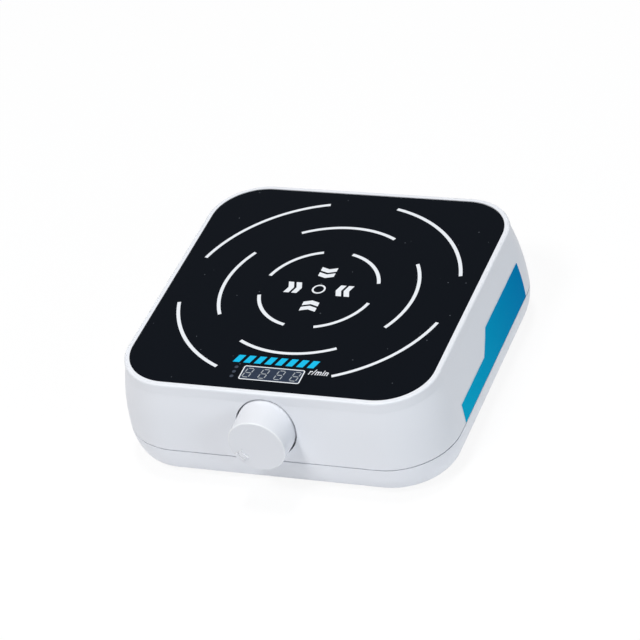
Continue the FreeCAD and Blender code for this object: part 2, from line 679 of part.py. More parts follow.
def side_label():
    """A thin film that follows the curve of the right wall, with one sloping step in its top edge."""
    low = HOUSING_BOTTOM + LABEL_SEAM_MARGIN
    half_way = (low + LABEL_HIGH_TOP) / 2
    inner = -LABEL_GLUE
    outer = -LABEL_GLUE - LABEL_THICKNESS
    near = [(CORNER_AT + wall_at(z, inner), z) for z in (low, half_way, LABEL_HIGH_TOP)]
    far = [(CORNER_AT + wall_at(z, outer), z) for z in (low, half_way, LABEL_HIGH_TOP)]
    edges = [arc(*near), line(near[2], far[2]), arc(*far), line(far[0], near[0])]
    sheet = Part.Face(Part.Wire(Part.__sortEdges__(edges)))
    sheet = moved(sheet, 0, LABEL_FRONT).extrude(FreeCAD.Vector(0, LABEL_REAR - LABEL_FRONT, 0))
    notch = [
        (LABEL_FRONT, LABEL_LOW_TOP),
        (LABEL_STEP_FRONT, LABEL_LOW_TOP),
        (LABEL_STEP_REAR, LABEL_HIGH_TOP),
        (LABEL_FRONT, LABEL_HIGH_TOP),
    ]
    corners = [FreeCAD.Vector(0, y, z) for y, z in notch]
    face = Part.Face(Part.makePolygon(corners + corners[:1]))
    return sheet.cut(face.extrude(FreeCAD.Vector(BODY_WIDTH, 0, 0)))


def rubber_feet():
    top = BASE_BOTTOM + FOOT_POCKET_DEPTH
    foot = turned([
        (0, 0),
        (FOOT_RADIUS - FOOT_CHAMFER, 0),
        (FOOT_RADIUS, FOOT_CHAMFER),
        (FOOT_RADIUS, top),
        (0, top),
    ])
    return Part.makeCompound(at_corners(foot, CORNER_AT))


def base_screws():
    """Case screws, with a cross recess in each head because these heads show."""
    body = screw(CASE_SCREW_HEAD_RADIUS, CASE_SCREW_HEAD_HEIGHT, CASE_SCREW_RADIUS, CASE_SCREW_LENGTH)
    half = RECESS_WIDTH / 2
    reach = RECESS_LENGTH / 2
    slot = box(-reach, reach, -half, half, -CASE_SCREW_HEAD_HEIGHT, RECESS_DEPTH - CASE_SCREW_HEAD_HEIGHT)
    piece = body.cut(slot.fuse(turned_by(slot, 90)).removeSplitter())
    return Part.makeCompound(at_corners(moved(piece, 0, 0, SCREW_SEAT), SCREW_AT))


def knob_mark():
    """Two short chevrons raised on the knob's face, pointing out along the pointer's direction."""
    pads = []
    for row in range(2):
        near = MARK_RADIUS + row * MARK_PITCH
        far = near + MARK_STROKE
        outline = [
            (-MARK_HALF_WIDTH, near),
            (0, near + MARK_BEND),
            (MARK_HALF_WIDTH, near),
            (MARK_HALF_WIDTH, far),
            (0, far + MARK_BEND),
            (-MARK_HALF_WIDTH, far),
        ]
        pad = prism(outline, KNOB_FRONT - MARK_ROOT, KNOB_FRONT + MARK_HEIGHT)
        pads.append(turned_by(pad, MARK_ANGLE - 90))
    return pads


def shaft_section(radius, flat, z0, z1):
    """A round section with one flat."""
    return rod(radius, z0, z1).cut(box(-radius, radius, flat, radius, z0, z1))


def speed_knob():
    back = (KNOB_BACK_RADIUS, KNOB_BACK)
    rim = (KNOB_FACE_RADIUS, KNOB_FRONT)
    start, middle, end = round_corner(back, rim, (0, KNOB_FRONT), KNOB_FILLET)
    face_back = KNOB_FRONT - KNOB_FACE
    cavity_radius = KNOB_FACE_RADIUS - KNOB_SKIRT
    edges = [
        line((cavity_radius, KNOB_BACK), back),
        line(back, start),
        arc(start, middle, end),
        line(end, (0, KNOB_FRONT)),
        line((0, KNOB_FRONT), (0, HUB_BACK)),
        line((0, HUB_BACK), (KNOB_HUB_RADIUS, HUB_BACK)),
        line((KNOB_HUB_RADIUS, HUB_BACK), (KNOB_HUB_RADIUS, face_back)),
        line((KNOB_HUB_RADIUS, face_back), (cavity_radius, face_back)),
        line((cavity_radius, face_back), (cavity_radius, KNOB_BACK)),
    ]
    body = Part.Face(Part.Wire(edges)).revolve(ORIGIN, UP, 360)
    bore_radius = POT_SHAFT_RADIUS + KNOB_BORE_CLEARANCE
    bore = shaft_section(bore_radius, POT_FLAT + KNOB_BORE_CLEARANCE, HUB_BACK, SHAFT_END + KNOB_BACK_GAP)
    return front(body.cut(bore).multiFuse(knob_mark()).removeSplitter())


def pot_shaft():
    wiper_back = POT_BACK + POT_WALL + POT_WIPER_THICKNESS
    plain = rod(POT_SHAFT_RADIUS, wiper_back, HUB_BACK)
    wiper = rod(POT_WIPER_RADIUS, wiper_back, wiper_back + POT_WIPER_THICKNESS)
    end = shaft_section(POT_SHAFT_RADIUS, POT_FLAT, HUB_BACK, SHAFT_END)
    return front(plain.multiFuse([wiper, end]).removeSplitter())


def pot_body():
    half = POT_WIDTH / 2
    case = box(-half, half, -half, half, POT_BACK, PANEL_BACK)
    cavity = rod(POT_CAVITY_RADIUS, POT_BACK + POT_WALL, PANEL_BACK - POT_WALL)
    mouth = rod(BUSHING_RADIUS + THREAD_CLEARANCE, PANEL_BACK - POT_WALL, PANEL_BACK)
    return front(case.cut([cavity, mouth]))


def pot_bushing():
    return front(ring(BUSHING_RADIUS, POT_SHAFT_RADIUS + RUNNING_CLEARANCE, PANEL_BACK - POT_WALL, BUSHING_END))


def pot_washer():
    top = POCKET_FRONT + POT_WASHER_THICKNESS
    return front(ring(POT_WASHER_RADIUS, BUSHING_RADIUS + BUSHING_HOLE_CLEARANCE, POCKET_FRONT, top))


def pot_nut():
    low = POCKET_FRONT + POT_WASHER_THICKNESS
    top = low + POT_NUT_THICKNESS
    return front(hexagon(POT_NUT_FLATS, low, top).cut(rod(BUSHING_RADIUS + THREAD_CLEARANCE, low, top)))


def pot_pin_y():
    return -(POT_BACK + PANEL_BACK) / 2


def pot_pins():
    half = POT_PIN_WIDTH / 2
    y = pot_pin_y()
    pins = []
    for step in (-1, 0, 1):
        x = step * POT_PIN_PITCH
        pins.append(box(x - half, x + half, y - half, y + half, POT_BOTTOM - POT_PIN_LENGTH, POT_BOTTOM))
    return Part.makeCompound(pins)


def display_board():
    half = DISPLAY_BOARD_LENGTH / 2
    y0 = DISPLAY_Y - DISPLAY_BOARD_FRONT
    y1 = DISPLAY_Y + DISPLAY_BOARD_REAR
    board = box(-half, half, y0, y1, DISPLAY_BOARD_BOTTOM, DISPLAY_BOARD_TOP)
    hole = SMALL_SCREW_RADIUS + THREAD_CLEARANCE
    holes = [rod(hole, DISPLAY_BOARD_BOTTOM, DISPLAY_BOARD_TOP, x, y) for x, y in display_boss_places()]
    return board.cut(holes)


def digit_display():
    half = DISPLAY_LENGTH / 2
    deep = DISPLAY_DEPTH / 2
    return box(-half, half, DISPLAY_Y - deep, DISPLAY_Y + deep, DISPLAY_BOARD_TOP, DISPLAY_TOP)


def indicator_leds():
    rows = [DISPLAY_Y + step * LED_PITCH for step in (-1, 0, 1)]
    return Part.makeCompound([rod(LED_RADIUS, DISPLAY_BOARD_TOP, DISPLAY_TOP, LED_X, y) for y in rows])


def display_screws():
    length = BOARD_THICKNESS + DISPLAY_SCREW_BITE
    piece = screw(SMALL_SCREW_HEAD_RADIUS, SMALL_SCREW_HEAD_HEIGHT, SMALL_SCREW_RADIUS, length - THREAD_CLEARANCE)
    return Part.makeCompound([moved(piece, x, y, DISPLAY_BOARD_BOTTOM) for x, y in display_boss_places()])


def display_socket():
    half = SOCKET_LENGTH / 2
    y = DISPLAY_Y + DISPLAY_SOCKET_BEHIND
    deep = SOCKET_WIDTH / 2
    low = DISPLAY_BOARD_BOTTOM - DISPLAY_SOCKET_HEIGHT
    return box(
        DISPLAY_SOCKET_X - half, DISPLAY_SOCKET_X + half, y - deep, y + deep, low, DISPLAY_BOARD_BOTTOM
    )


def hub_screw_places():
    return [(0, side * HUB_SCREW_CIRCLE) for side in (-1, 1)]


def magnet_holder():
    bar = stadium(MAGNET_CIRCLE, MAGNET_RADIUS + HOLDER_RIM, YOKE_TOP, YOKE_TOP + HOLDER_HEIGHT)
    pocket = MAGNET_RADIUS + MAGNET_CLEARANCE
    cuts = [rod(pocket, YOKE_TOP, MAGNET_TOP, side * MAGNET_CIRCLE) for side in (-1, 1)]
    pilot = SMALL_SCREW_RADIUS + THREAD_CLEARANCE
    cuts += [rod(pilot, YOKE_TOP, YOKE_TOP + HUB_SCREW_BITE, x, y) for x, y in hub_screw_places()]
    return bar.cut(cuts)


def drive_magnet(side):
    return rod(MAGNET_RADIUS, YOKE_TOP, MAGNET_TOP, side * MAGNET_CIRCLE)


def yoke_bar():
    bar = stadium(MAGNET_CIRCLE, MAGNET_RADIUS + HOLDER_RIM - YOKE_MARGIN, YOKE_BOTTOM, YOKE_TOP)
    hole = SMALL_SCREW_RADIUS + THREAD_CLEARANCE
    cuts = [rod(hole, YOKE_BOTTOM, YOKE_TOP, x, y) for x, y in hub_screw_places()]
    cuts.append(rod(SHAFT_RADIUS + THREAD_CLEARANCE, YOKE_BOTTOM, YOKE_TOP))
    return bar.cut(cuts)


def set_screw_z():
    return HUB_BOTTOM + SET_SCREW_HEIGHT


def drive_hub():
    body = rod(HUB_RADIUS, HUB_BOTTOM, FLANGE_BOTTOM)
    flange = rod(HUB_FLANGE_RADIUS, FLANGE_BOTTOM, YOKE_BOTTOM)
    hole = SMALL_SCREW_RADIUS + THREAD_CLEARANCE
    cuts = [rod(hole, FLANGE_BOTTOM, YOKE_BOTTOM, x, y) for x, y in hub_screw_places()]
    cuts.append(rod(SHAFT_RADIUS + THREAD_CLEARANCE, HUB_BOTTOM, YOKE_BOTTOM))
    tapped = turned_by(rod(SET_SCREW_RADIUS + THREAD_CLEARANCE, 0, HUB_RADIUS), 90, ORIGIN, FreeCAD.Vector(0, 1, 0))
    cuts.append(moved(tapped, 0, 0, set_screw_z()))
    return body.fuse(flange).removeSplitter().cut(cuts)


def hub_set_screw():
    start = SHAFT_RADIUS + THREAD_CLEARANCE
    piece = rod(SET_SCREW_RADIUS, start, start + SET_SCREW_LENGTH)
    return moved(turned_by(piece, 90, ORIGIN, FreeCAD.Vector(0, 1, 0)), 0, 0, set_screw_z())


def hub_screws():
    length = HUB_FLANGE_THICKNESS + YOKE_THICKNESS + HUB_SCREW_BITE - THREAD_CLEARANCE
    piece = screw(SMALL_SCREW_HEAD_RADIUS, SMALL_SCREW_HEAD_HEIGHT, SMALL_SCREW_RADIUS, length)
    return Part.makeCompound([moved(piece, x, y, FLANGE_BOTTOM) for x, y in hub_screw_places()])


def motor_shaft():
    return rod(SHAFT_RADIUS, LOWER_BEARING_BOTTOM + RUNNING_CLEARANCE, YOKE_BOTTOM + SHAFT_ABOVE_HUB)


def motor_screw_places():
    reach = MOTOR_SCREW_CIRCLE / math.sqrt(2)
    return [(sx * reach, sy * reach) for sx, sy in CORNERS]


def motor_plate():
    half = PLATE_WIDTH / 2
    square = box(-half, half, -half, half, PLATE_BOTTOM, PLATE_TOP)
    plate = square.makeFillet(PLATE_CORNER, [e for e in square.Edges if e.BoundBox.ZLength > PLATE_THICKNESS / 2])
    neck = GROMMET_NECK_RADIUS + GROMMET_CLEARANCE
    screw_hole = CASE_SCREW_RADIUS + THREAD_CLEARANCE
    cuts = [rod(MOTOR_BOSS_RADIUS + PANEL_CLEARANCE, PLATE_BOTTOM, PLATE_TOP)]
    cuts += [rod(neck, PLATE_BOTTOM, PLATE_TOP, x, y) for x, y in post_places()]
    cuts += [rod(screw_hole, PLATE_BOTTOM, PLATE_TOP, x, y) for x, y in motor_screw_places()]
    return plate.cut(cuts)


def plate_grommets():
    bore = CASE_SCREW_RADIUS + THREAD_CLEARANCE
    spool = turned([
        (bore, POST_TOP),
        (GROMMET_RADIUS, POST_TOP),
        (GROMMET_RADIUS, PLATE_BOTTOM),
        (GROMMET_NECK_RADIUS, PLATE_BOTTOM),
        (GROMMET_NECK_RADIUS, PLATE_TOP),
        (GROMMET_RADIUS, PLATE_TOP),
        (GROMMET_RADIUS, PLATE_TOP + GROMMET_ABOVE),
        (bore, PLATE_TOP + GROMMET_ABOVE),
    ])
    return Part.makeCompound(at_corners(spool, PLATE_HOLE_OFFSET))


def plate_screws():
    length = GROMMET_ABOVE + PLATE_THICKNESS + GROMMET_BELOW + PLATE_SCREW_BITE - THREAD_CLEARANCE
    piece = flipped(screw(CASE_SCREW_HEAD_RADIUS, CASE_SCREW_HEAD_HEIGHT, CASE_SCREW_RADIUS, length))
    return Part.makeCompound(at_corners(moved(piece, 0, 0, PLATE_TOP + GROMMET_ABOVE), PLATE_HOLE_OFFSET))


def motor_can():
    inner_top = PLATE_BOTTOM - MOTOR_FACE
    bearing = BEARING_RADIUS + BEARING_CLEARANCE
    body = rod(MOTOR_RADIUS, MOTOR_BOTTOM, PLATE_BOTTOM)
    boss = rod(MOTOR_BOSS_RADIUS, PLATE_BOTTOM, PLATE_BOTTOM + MOTOR_BOSS_HEIGHT)
    hole = CASE_SCREW_RADIUS + THREAD_CLEARANCE
    cuts = [rod(MOTOR_INNER, MOTOR_BOTTOM, inner_top)]
    cuts.append(rod(bearing, inner_top, PLATE_BOTTOM + MOTOR_BOSS_HEIGHT))
    cuts += [rod(hole, inner_top, PLATE_BOTTOM, x, y) for x, y in motor_screw_places()]
    return body.fuse(boss).removeSplitter().cut(cuts)


def motor_end_cap():
    disc = rod(MOTOR_RADIUS, END_CAP_BOTTOM, MOTOR_BOTTOM)
    outer = MOTOR_INNER - BEARING_CLEARANCE
    spigot = ring(outer, outer - SPIGOT_WIDTH, MOTOR_BOTTOM, MOTOR_BOTTOM + SPIGOT_HEIGHT)
    hub = rod(END_CAP_HUB_RADIUS, MOTOR_BOTTOM, MOTOR_BOTTOM + END_CAP_HUB_HEIGHT)
    seat = rod(BEARING_RADIUS + BEARING_CLEARANCE, LOWER_BEARING_BOTTOM, MOTOR_BOTTOM + END_CAP_HUB_HEIGHT)
    return disc.multiFuse([spigot, hub]).removeSplitter().cut(seat)


def motor_stator():
    """A toothed lamination ring, with slots between the wound poles."""
    low = STATOR_BOTTOM
    high = STATOR_TOP
    body = ring(MOTOR_INNER - BEARING_CLEARANCE, STATOR_INNER_RADIUS, low, high)
    half = STATOR_SLOT_WIDTH / 2
    slot = box(STATOR_INNER_RADIUS - half, STATOR_INNER_RADIUS + STATOR_SLOT_DEPTH, -half, half, low, high)
    return body.cut([turned_by(slot, 360 * step / STATOR_SLOTS) for step in range(STATOR_SLOTS)])


def motor_rotor():
    radius = STATOR_INNER_RADIUS - ROTOR_GAP
    return ring(radius, SHAFT_RADIUS + THREAD_CLEARANCE, STATOR_BOTTOM, STATOR_TOP)


def bearing(low, height):
    return ring(BEARING_RADIUS, SHAFT_RADIUS + RUNNING_CLEARANCE, low, low + height)


def motor_terminal():
    half = TERMINAL_WIDTH / 2
    low = SOCKET_MIDDLE - TERMINAL_HEIGHT / 2
    block = box(-MOTOR_RADIUS - TERMINAL_LENGTH, 0, -half, half, low, low + TERMINAL_HEIGHT)
    return block.cut(rod(MOTOR_RADIUS + THREAD_CLEARANCE, low, low + TERMINAL_HEIGHT))


def motor_screws():
    length = PLATE_THICKNESS + MOTOR_SCREW_BITE
    piece = flipped(screw(CASE_SCREW_HEAD_RADIUS, CASE_SCREW_HEAD_HEIGHT, CASE_SCREW_RADIUS, length))
    return Part.makeCompound([moved(piece, x, y, PLATE_TOP) for x, y in motor_screw_places()])


def control_board():
    half = BOARD_LENGTH / 2
    board = box(BOARD_LEFT, BOARD_RIGHT, -half, half, BOARD_BOTTOM, BOARD_TOP)
    hole = SMALL_SCREW_RADIUS + THREAD_CLEARANCE
    return board.cut([rod(hole, BOARD_BOTTOM, BOARD_TOP, x, y) for x, y in board_post_places()])


def board_screws():
    length = BOARD_THICKNESS + BOARD_SCREW_BITE - THREAD_CLEARANCE
    piece = flipped(screw(SMALL_SCREW_HEAD_RADIUS, SMALL_SCREW_HEAD_HEIGHT, SMALL_SCREW_RADIUS, length))
    return Part.makeCompound([moved(piece, x, y, BOARD_TOP) for x, y in board_post_places()])


def board_sockets():
    """Three sockets along the inner edge of the board, and one at each end."""
    half = SOCKET_LENGTH / 2
    high = BOARD_TOP + SOCKET_HEIGHT
    end = BOARD_LENGTH / 2
    sockets = []
    for y in (-SIDE_SOCKET_OFFSET, 0, SIDE_SOCKET_OFFSET):
        sockets.append(box(BOARD_RIGHT - SOCKET_WIDTH, BOARD_RIGHT, y - half, y + half, BOARD_TOP, high))
    for y0 in (-end, end - SOCKET_WIDTH):
        sockets.append(box(BOARD_MIDDLE - half, BOARD_MIDDLE + half, y0, y0 + SOCKET_WIDTH, BOARD_TOP, high))
    return Part.makeCompound(sockets)


def capacitors():
    x = BOARD_LEFT + CAPACITOR_INSET
    rows = [side * CAPACITOR_PITCH / 2 for side in (-1, 1)]
    return Part.makeCompound([rod(CAPACITOR_RADIUS, BOARD_TOP, BOARD_TOP + CAPACITOR_HEIGHT, x, y) for y in rows])


def board_chips():
    x = BOARD_LEFT + CHIP_INSET
    half = CHIP_WIDTH / 2
    chips = []
    for y in (-CHIP_OFFSET, CHIP_OFFSET):
        chips.append(box(x - half, x + half, y - half, y + half, BOARD_TOP, BOARD_TOP + CHIP_HEIGHT))
    return Part.makeCompound(chips)


def dc_jack():
    floor = JACK_MOUTH - JACK_BORE_DEPTH
    body = turned([
        (0, JACK_END),
        (JACK_RADIUS, JACK_END),
        (JACK_RADIUS, REAR_FACE),
        (JACK_FLANGE_RADIUS, REAR_FACE),
        (JACK_FLANGE_RADIUS, JACK_MOUTH),
        (JACK_BORE_RADIUS, JACK_MOUTH),
        (JACK_BORE_RADIUS, floor),
        (0, floor),
    ])
    return rear(body.cut(rod(JACK_PIN_RADIUS + THREAD_CLEARANCE, floor - JACK_PIN_ROOT, floor)), JACK_X)


def dc_jack_pin():
    root = JACK_MOUTH - JACK_BORE_DEPTH - JACK_PIN_ROOT
    return rear(rod(JACK_PIN_RADIUS, root, JACK_MOUTH - JACK_PIN_RECESS), JACK_X)


def dc_jack_nut():
    low = REAR_BACK - JACK_NUT_THICKNESS
    nut = hexagon(JACK_NUT_FLATS, low, REAR_BACK).cut(rod(JACK_RADIUS + THREAD_CLEARANCE, low, REAR_BACK))
    return rear(nut, JACK_X)


def tabs(x, pitch, end):
    """Two flat solder tabs that stand out of the back of a panel piece."""
    half = TAB_WIDTH / 2
    low = REAR_HEIGHT - TAB_THICKNESS / 2
    blades = []
    for side in (-1, 1):
        at = x + side * pitch / 2
        blades.append(box(at - half, at + half, end - TAB_LENGTH, end, low, low + TAB_THICKNESS))
    return Part.makeCompound(blades)


def switch_frame():
    flange_x = SWITCH_HALF_X + SWITCH_FLANGE_MARGIN
    flange_z = SWITCH_HALF_Z + SWITCH_FLANGE_MARGIN
    opening_x = ROCKER_RADIUS + SWITCH_OPENING_GAP
    opening_z = ROCKER_HALF_HEIGHT + ROCKER_SIDE_GAP
    outer = REAR_FACE + SWITCH_FLANGE
    flange = box(-flange_x, flange_x, REAR_FACE, outer, -flange_z, flange_z)
    case = box(-SWITCH_HALF_X, SWITCH_HALF_X, SWITCH_END, REAR_FACE, -SWITCH_HALF_Z, SWITCH_HALF_Z)
    opening = box(-opening_x, opening_x, SWITCH_END + SWITCH_FLOOR, outer, -opening_z, opening_z)
    reach = ROCKER_HALF_HEIGHT + TRUNNION_LENGTH + TRUNNION_END_GAP
    sockets = rod(TRUNNION_RADIUS + RUNNING_CLEARANCE, -reach, reach, 0, PIVOT_Y)
    frame = case.fuse(flange).removeSplitter().cut([opening, sockets])
    return moved(frame, SWITCH_X, 0, REAR_HEIGHT)


def switch_rocker():
    """A drum section with two flats that meet in a shallow valley, stored tilted to its off side."""
    drum = rod(ROCKER_RADIUS, -ROCKER_HALF_HEIGHT, ROCKER_HALF_HEIGHT)
    rise = ROCKER_CROWN + ROCKER_RADIUS * math.tan(math.radians(ROCKER_TILT))
    outline = [
        (-ROCKER_RADIUS, -ROCKER_BELOW),
        (ROCKER_RADIUS, -ROCKER_BELOW),
        (ROCKER_RADIUS, rise),
        (0, ROCKER_CROWN),
        (-ROCKER_RADIUS, rise),
    ]
    cap = drum.common(prism(outline, -ROCKER_HALF_HEIGHT, ROCKER_HALF_HEIGHT))
    reach = ROCKER_HALF_HEIGHT + TRUNNION_LENGTH
    cap = cap.fuse(rod(TRUNNION_RADIUS, -reach, reach)).removeSplitter()
    return moved(turned_by(cap, -ROCKER_TILT), SWITCH_X, PIVOT_Y, REAR_HEIGHT)


def lead_path(points):
    """Straight runs joined by tangent arcs, each as large as its two runs allow."""
    corners = [FreeCAD.Vector(*p) for p in points]
    edges = []
    start = corners[0]
    for before, corner, after in zip(corners, corners[1:], corners[2:]):
        back = before - corner
        ahead = after - corner
        tangent = BEND_SHARE * min(back.Length, ahead.Length)
        back.normalize()
        ahead.normalize()
        half = back.getAngle(ahead) / 2
        radius = tangent * math.tan(half)
        inward = back + ahead
        inward.normalize()
        enter = corner + back * tangent
        leave = corner + ahead * tangent
        middle = corner + inward * (radius / math.sin(half) - radius)
        edges.append(Part.LineSegment(start, enter).toShape())
        edges.append(Part.Arc(enter, middle, leave).toShape())
        start = leave
    edges.append(Part.LineSegment(start, corners[-1]).toShape())
    return Part.Wire(edges)


def lead(points, plugs):
    """A round lead along a route, with a moulded plug at each end that needs one."""
    path = lead_path(points)
    first = FreeCAD.Vector(*points[0])
    heading = FreeCAD.Vector(*points[1]) - first
    section = Part.Wire([Part.makeCircle(LEAD_RADIUS, first, heading)])
    tube = path.makePipeShell([section], True, False)
    expected = math.pi * LEAD_RADIUS ** 2 * path.Length
    print("lead %.1f mm long, volume ratio %.4f" % (path.Length, tube.Volume / expected))
    return tube.multiFuse(plugs).removeSplitter()


def stepped(end, steps):
    """Points of a route, each at a step from one of its ends."""
    return [tuple(a + b for a, b in zip(end, step)) for step in steps]


def edge_plug(y):
    """A plug that meets a socket on the inner edge of the board."""
    half = SOCKET_LENGTH / 2 - PLUG_MARGIN
    rise = SOCKET_HEIGHT / 2 - PLUG_MARGIN
    return box(
        BOARD_RIGHT, BOARD_RIGHT + PLUG_LENGTH, y - half, y + half, SOCKET_MIDDLE - rise, SOCKET_MIDDLE + rise
    )


def end_plug(side):
    """A plug that meets the socket at the front or rear end of the board."""
    half = SOCKET_LENGTH / 2 - PLUG_MARGIN
    rise = SOCKET_HEIGHT / 2 - PLUG_MARGIN
    inner = side * BOARD_LENGTH / 2
    outer = inner + side * PLUG_LENGTH
    return box(
        BOARD_MIDDLE - half, BOARD_MIDDLE + half, min(inner, outer), max(inner, outer),
        SOCKET_MIDDLE - rise, SOCKET_MIDDLE + rise,
    )


def tab_plug(x, pitch, end):
    """A plug that meets the solder tabs behind a panel piece."""
    half = (pitch + TAB_WIDTH) / 2
    return box(
        x - half, x + half, end - TAB_LENGTH - PLUG_LENGTH, end - TAB_LENGTH,
        REAR_HEIGHT - LEAD_RADIUS - PLUG_MARGIN, REAR_HEIGHT + LEAD_RADIUS + PLUG_MARGIN,
    )


def motor_lead():
    start = (-MOTOR_RADIUS - TERMINAL_LENGTH, 0, SOCKET_MIDDLE)
    end = (BOARD_RIGHT + PLUG_LENGTH, 0, SOCKET_MIDDLE)
    return lead([start, end], [edge_plug(0)])


def display_lead():
    y = DISPLAY_Y + DISPLAY_SOCKET_BEHIND
    top = DISPLAY_BOARD_BOTTOM - DISPLAY_SOCKET_HEIGHT
    half = SOCKET_LENGTH / 2 - PLUG_MARGIN
    deep = SOCKET_WIDTH / 2 - PLUG_MARGIN
    plug = box(
        DISPLAY_SOCKET_X - half, DISPLAY_SOCKET_X + half, y - deep, y + deep, top - PLUG_LENGTH, top
    )
    start = (DISPLAY_SOCKET_X, y, top - PLUG_LENGTH)
    end = (BOARD_RIGHT + PLUG_LENGTH, -SIDE_SOCKET_OFFSET, SOCKET_MIDDLE)
    points = [start] + stepped(start, DISPLAY_LEAD_STEPS) + stepped(end, [(PLUG_RUN, 0, 0)]) + [end]
    return lead(points, [plug, edge_plug(-SIDE_SOCKET_OFFSET)])


def speed_lead():
    y = pot_pin_y()
    top = POT_BOTTOM - POT_PIN_LENGTH
    half = POT_PIN_PITCH + POT_PIN_WIDTH
    deep = LEAD_RADIUS + PLUG_MARGIN
    plug = box(-half, half, y - deep, y + deep, top - PLUG_LENGTH, top)
    start = (0, y, top - PLUG_LENGTH)
    end = (BOARD_MIDDLE, -BOARD_LENGTH / 2 - PLUG_LENGTH, SOCKET_MIDDLE)
    points = [start] + stepped(start, SPEED_LEAD_STEPS)
    points += stepped(end, [SPEED_LEAD_TURN, (0, -PLUG_RUN, 0)]) + [end]
    return lead(points, [plug, end_plug(-1)])


def inlet_lead():
    start = (JACK_X, JACK_END - TAB_LENGTH - PLUG_LENGTH, REAR_HEIGHT)
    end = (BOARD_RIGHT + PLUG_LENGTH, SIDE_SOCKET_OFFSET, SOCKET_MIDDLE)
    points = [start] + stepped(start, INLET_LEAD_STEPS) + stepped(end, [(PLUG_RUN, 0, 0)]) + [end]
    return lead(points, [tab_plug(JACK_X, JACK_TAB_PITCH, JACK_END), edge_plug(SIDE_SOCKET_OFFSET)])


def switch_lead():
    start = (SWITCH_X, SWITCH_END - TAB_LENGTH - PLUG_LENGTH, REAR_HEIGHT)
    end = (BOARD_MIDDLE, BOARD_LENGTH / 2 + PLUG_LENGTH, SOCKET_MIDDLE)
    points = [start] + stepped(start, SWITCH_LEAD_STEPS)
    points += stepped(end, [SWITCH_LEAD_TURN, (0, PLUG_RUN, 0)]) + [end]
    return lead(points, [tab_plug(SWITCH_X, SWITCH_TAB_PITCH, SWITCH_END), end_plug(1)])


PIECES = {
    "top_housing": top_housing(),
    "base_shell": base_shell(),
    "glass_plate": glass_plate(),
    "glass_adhesive": glass_adhesive(),
    "side_label": side_label(),
    "rubber_feet": rubber_feet(),
    "base_screws": base_screws(),
    "speed_knob": speed_knob(),
    "pot_shaft": pot_shaft(),
    "pot_body": pot_body(),
    "pot_bushing": pot_bushing(),
    "pot_washer": pot_washer(),
    "pot_nut": pot_nut(),
    "pot_pins": pot_pins(),
    "display_board": display_board(),
    "digit_display": digit_display(),
    "indicator_leds": indicator_leds(),
    "display_screws": display_screws(),
    "display_socket": display_socket(),
    "magnet_holder": magnet_holder(),
    "drive_magnet_north": drive_magnet(-1),
    "drive_magnet_south": drive_magnet(1),
    "yoke_bar": yoke_bar(),
    "drive_hub": drive_hub(),
    "hub_set_screw": hub_set_screw(),
    "hub_screws": hub_screws(),
    "motor_shaft": motor_shaft(),
    "motor_plate": motor_plate(),
    "plate_grommets": plate_grommets(),
    "plate_screws": plate_screws(),
    "motor_can": motor_can(),
    "motor_end_cap": motor_end_cap(),
    "motor_stator": motor_stator(),
    "motor_rotor": motor_rotor(),
    "upper_bearing": bearing(PLATE_BOTTOM - MOTOR_FACE, UPPER_BEARING_HEIGHT),
    "lower_bearing": bearing(LOWER_BEARING_BOTTOM, LOWER_BEARING_HEIGHT),
    "motor_terminal": motor_terminal(),
    "motor_screws": motor_screws(),
    "control_board": control_board(),
    "board_screws": board_screws(),
    "board_sockets": board_sockets(),
    "capacitors": capacitors(),
    "board_chips": board_chips(),
    "dc_jack": dc_jack(),
    "dc_jack_pin": dc_jack_pin(),
    "dc_jack_nut": dc_jack_nut(),
    "dc_jack_tabs": tabs(JACK_X, JACK_TAB_PITCH, JACK_END),
    "switch_frame": switch_frame(),
    "switch_rocker": switch_rocker(),
    "switch_tabs": tabs(SWITCH_X, SWITCH_TAB_PITCH, SWITCH_END),
    "motor_lead": motor_lead(),
    "display_lead": display_lead(),
    "speed_lead": speed_lead(),
    "inlet_lead": inlet_lead(),
    "switch_lead": switch_lead(),
}

os.makedirs("parts", exist_ok=True)
for name, shape in PIECES.items():
    shape.exportStep("parts/" + name + ".step")
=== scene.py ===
import math

import bmesh
import bpy
from mathutils import Matrix, Vector


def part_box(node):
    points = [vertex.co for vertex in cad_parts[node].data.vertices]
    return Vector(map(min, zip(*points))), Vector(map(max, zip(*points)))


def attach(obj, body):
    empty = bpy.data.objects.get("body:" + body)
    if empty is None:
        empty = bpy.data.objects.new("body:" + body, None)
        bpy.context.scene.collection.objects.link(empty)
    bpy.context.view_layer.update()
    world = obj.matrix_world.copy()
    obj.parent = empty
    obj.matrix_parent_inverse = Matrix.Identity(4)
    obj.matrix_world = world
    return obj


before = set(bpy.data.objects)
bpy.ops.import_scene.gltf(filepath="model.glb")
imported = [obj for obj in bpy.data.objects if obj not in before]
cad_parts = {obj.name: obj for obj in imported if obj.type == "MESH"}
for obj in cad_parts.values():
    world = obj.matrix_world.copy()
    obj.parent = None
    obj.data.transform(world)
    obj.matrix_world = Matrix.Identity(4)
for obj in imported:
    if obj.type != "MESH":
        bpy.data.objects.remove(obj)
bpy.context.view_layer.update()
MM = 0.001

# Base shell: the lower half of the case, a shallow tray with a rounded toe.
# It is injection moulded in white ABS, with a fine satin texture from the tool,
# and it hooks into the upper half by a tongue behind the seam.
CASE_WHITE = (0.79, 0.805, 0.845)
CASE_SHADE = (0.75, 0.77, 0.815)
TOOL_TEXTURE = 0.35 * MM
FLOW_PATCH = 45 * MM


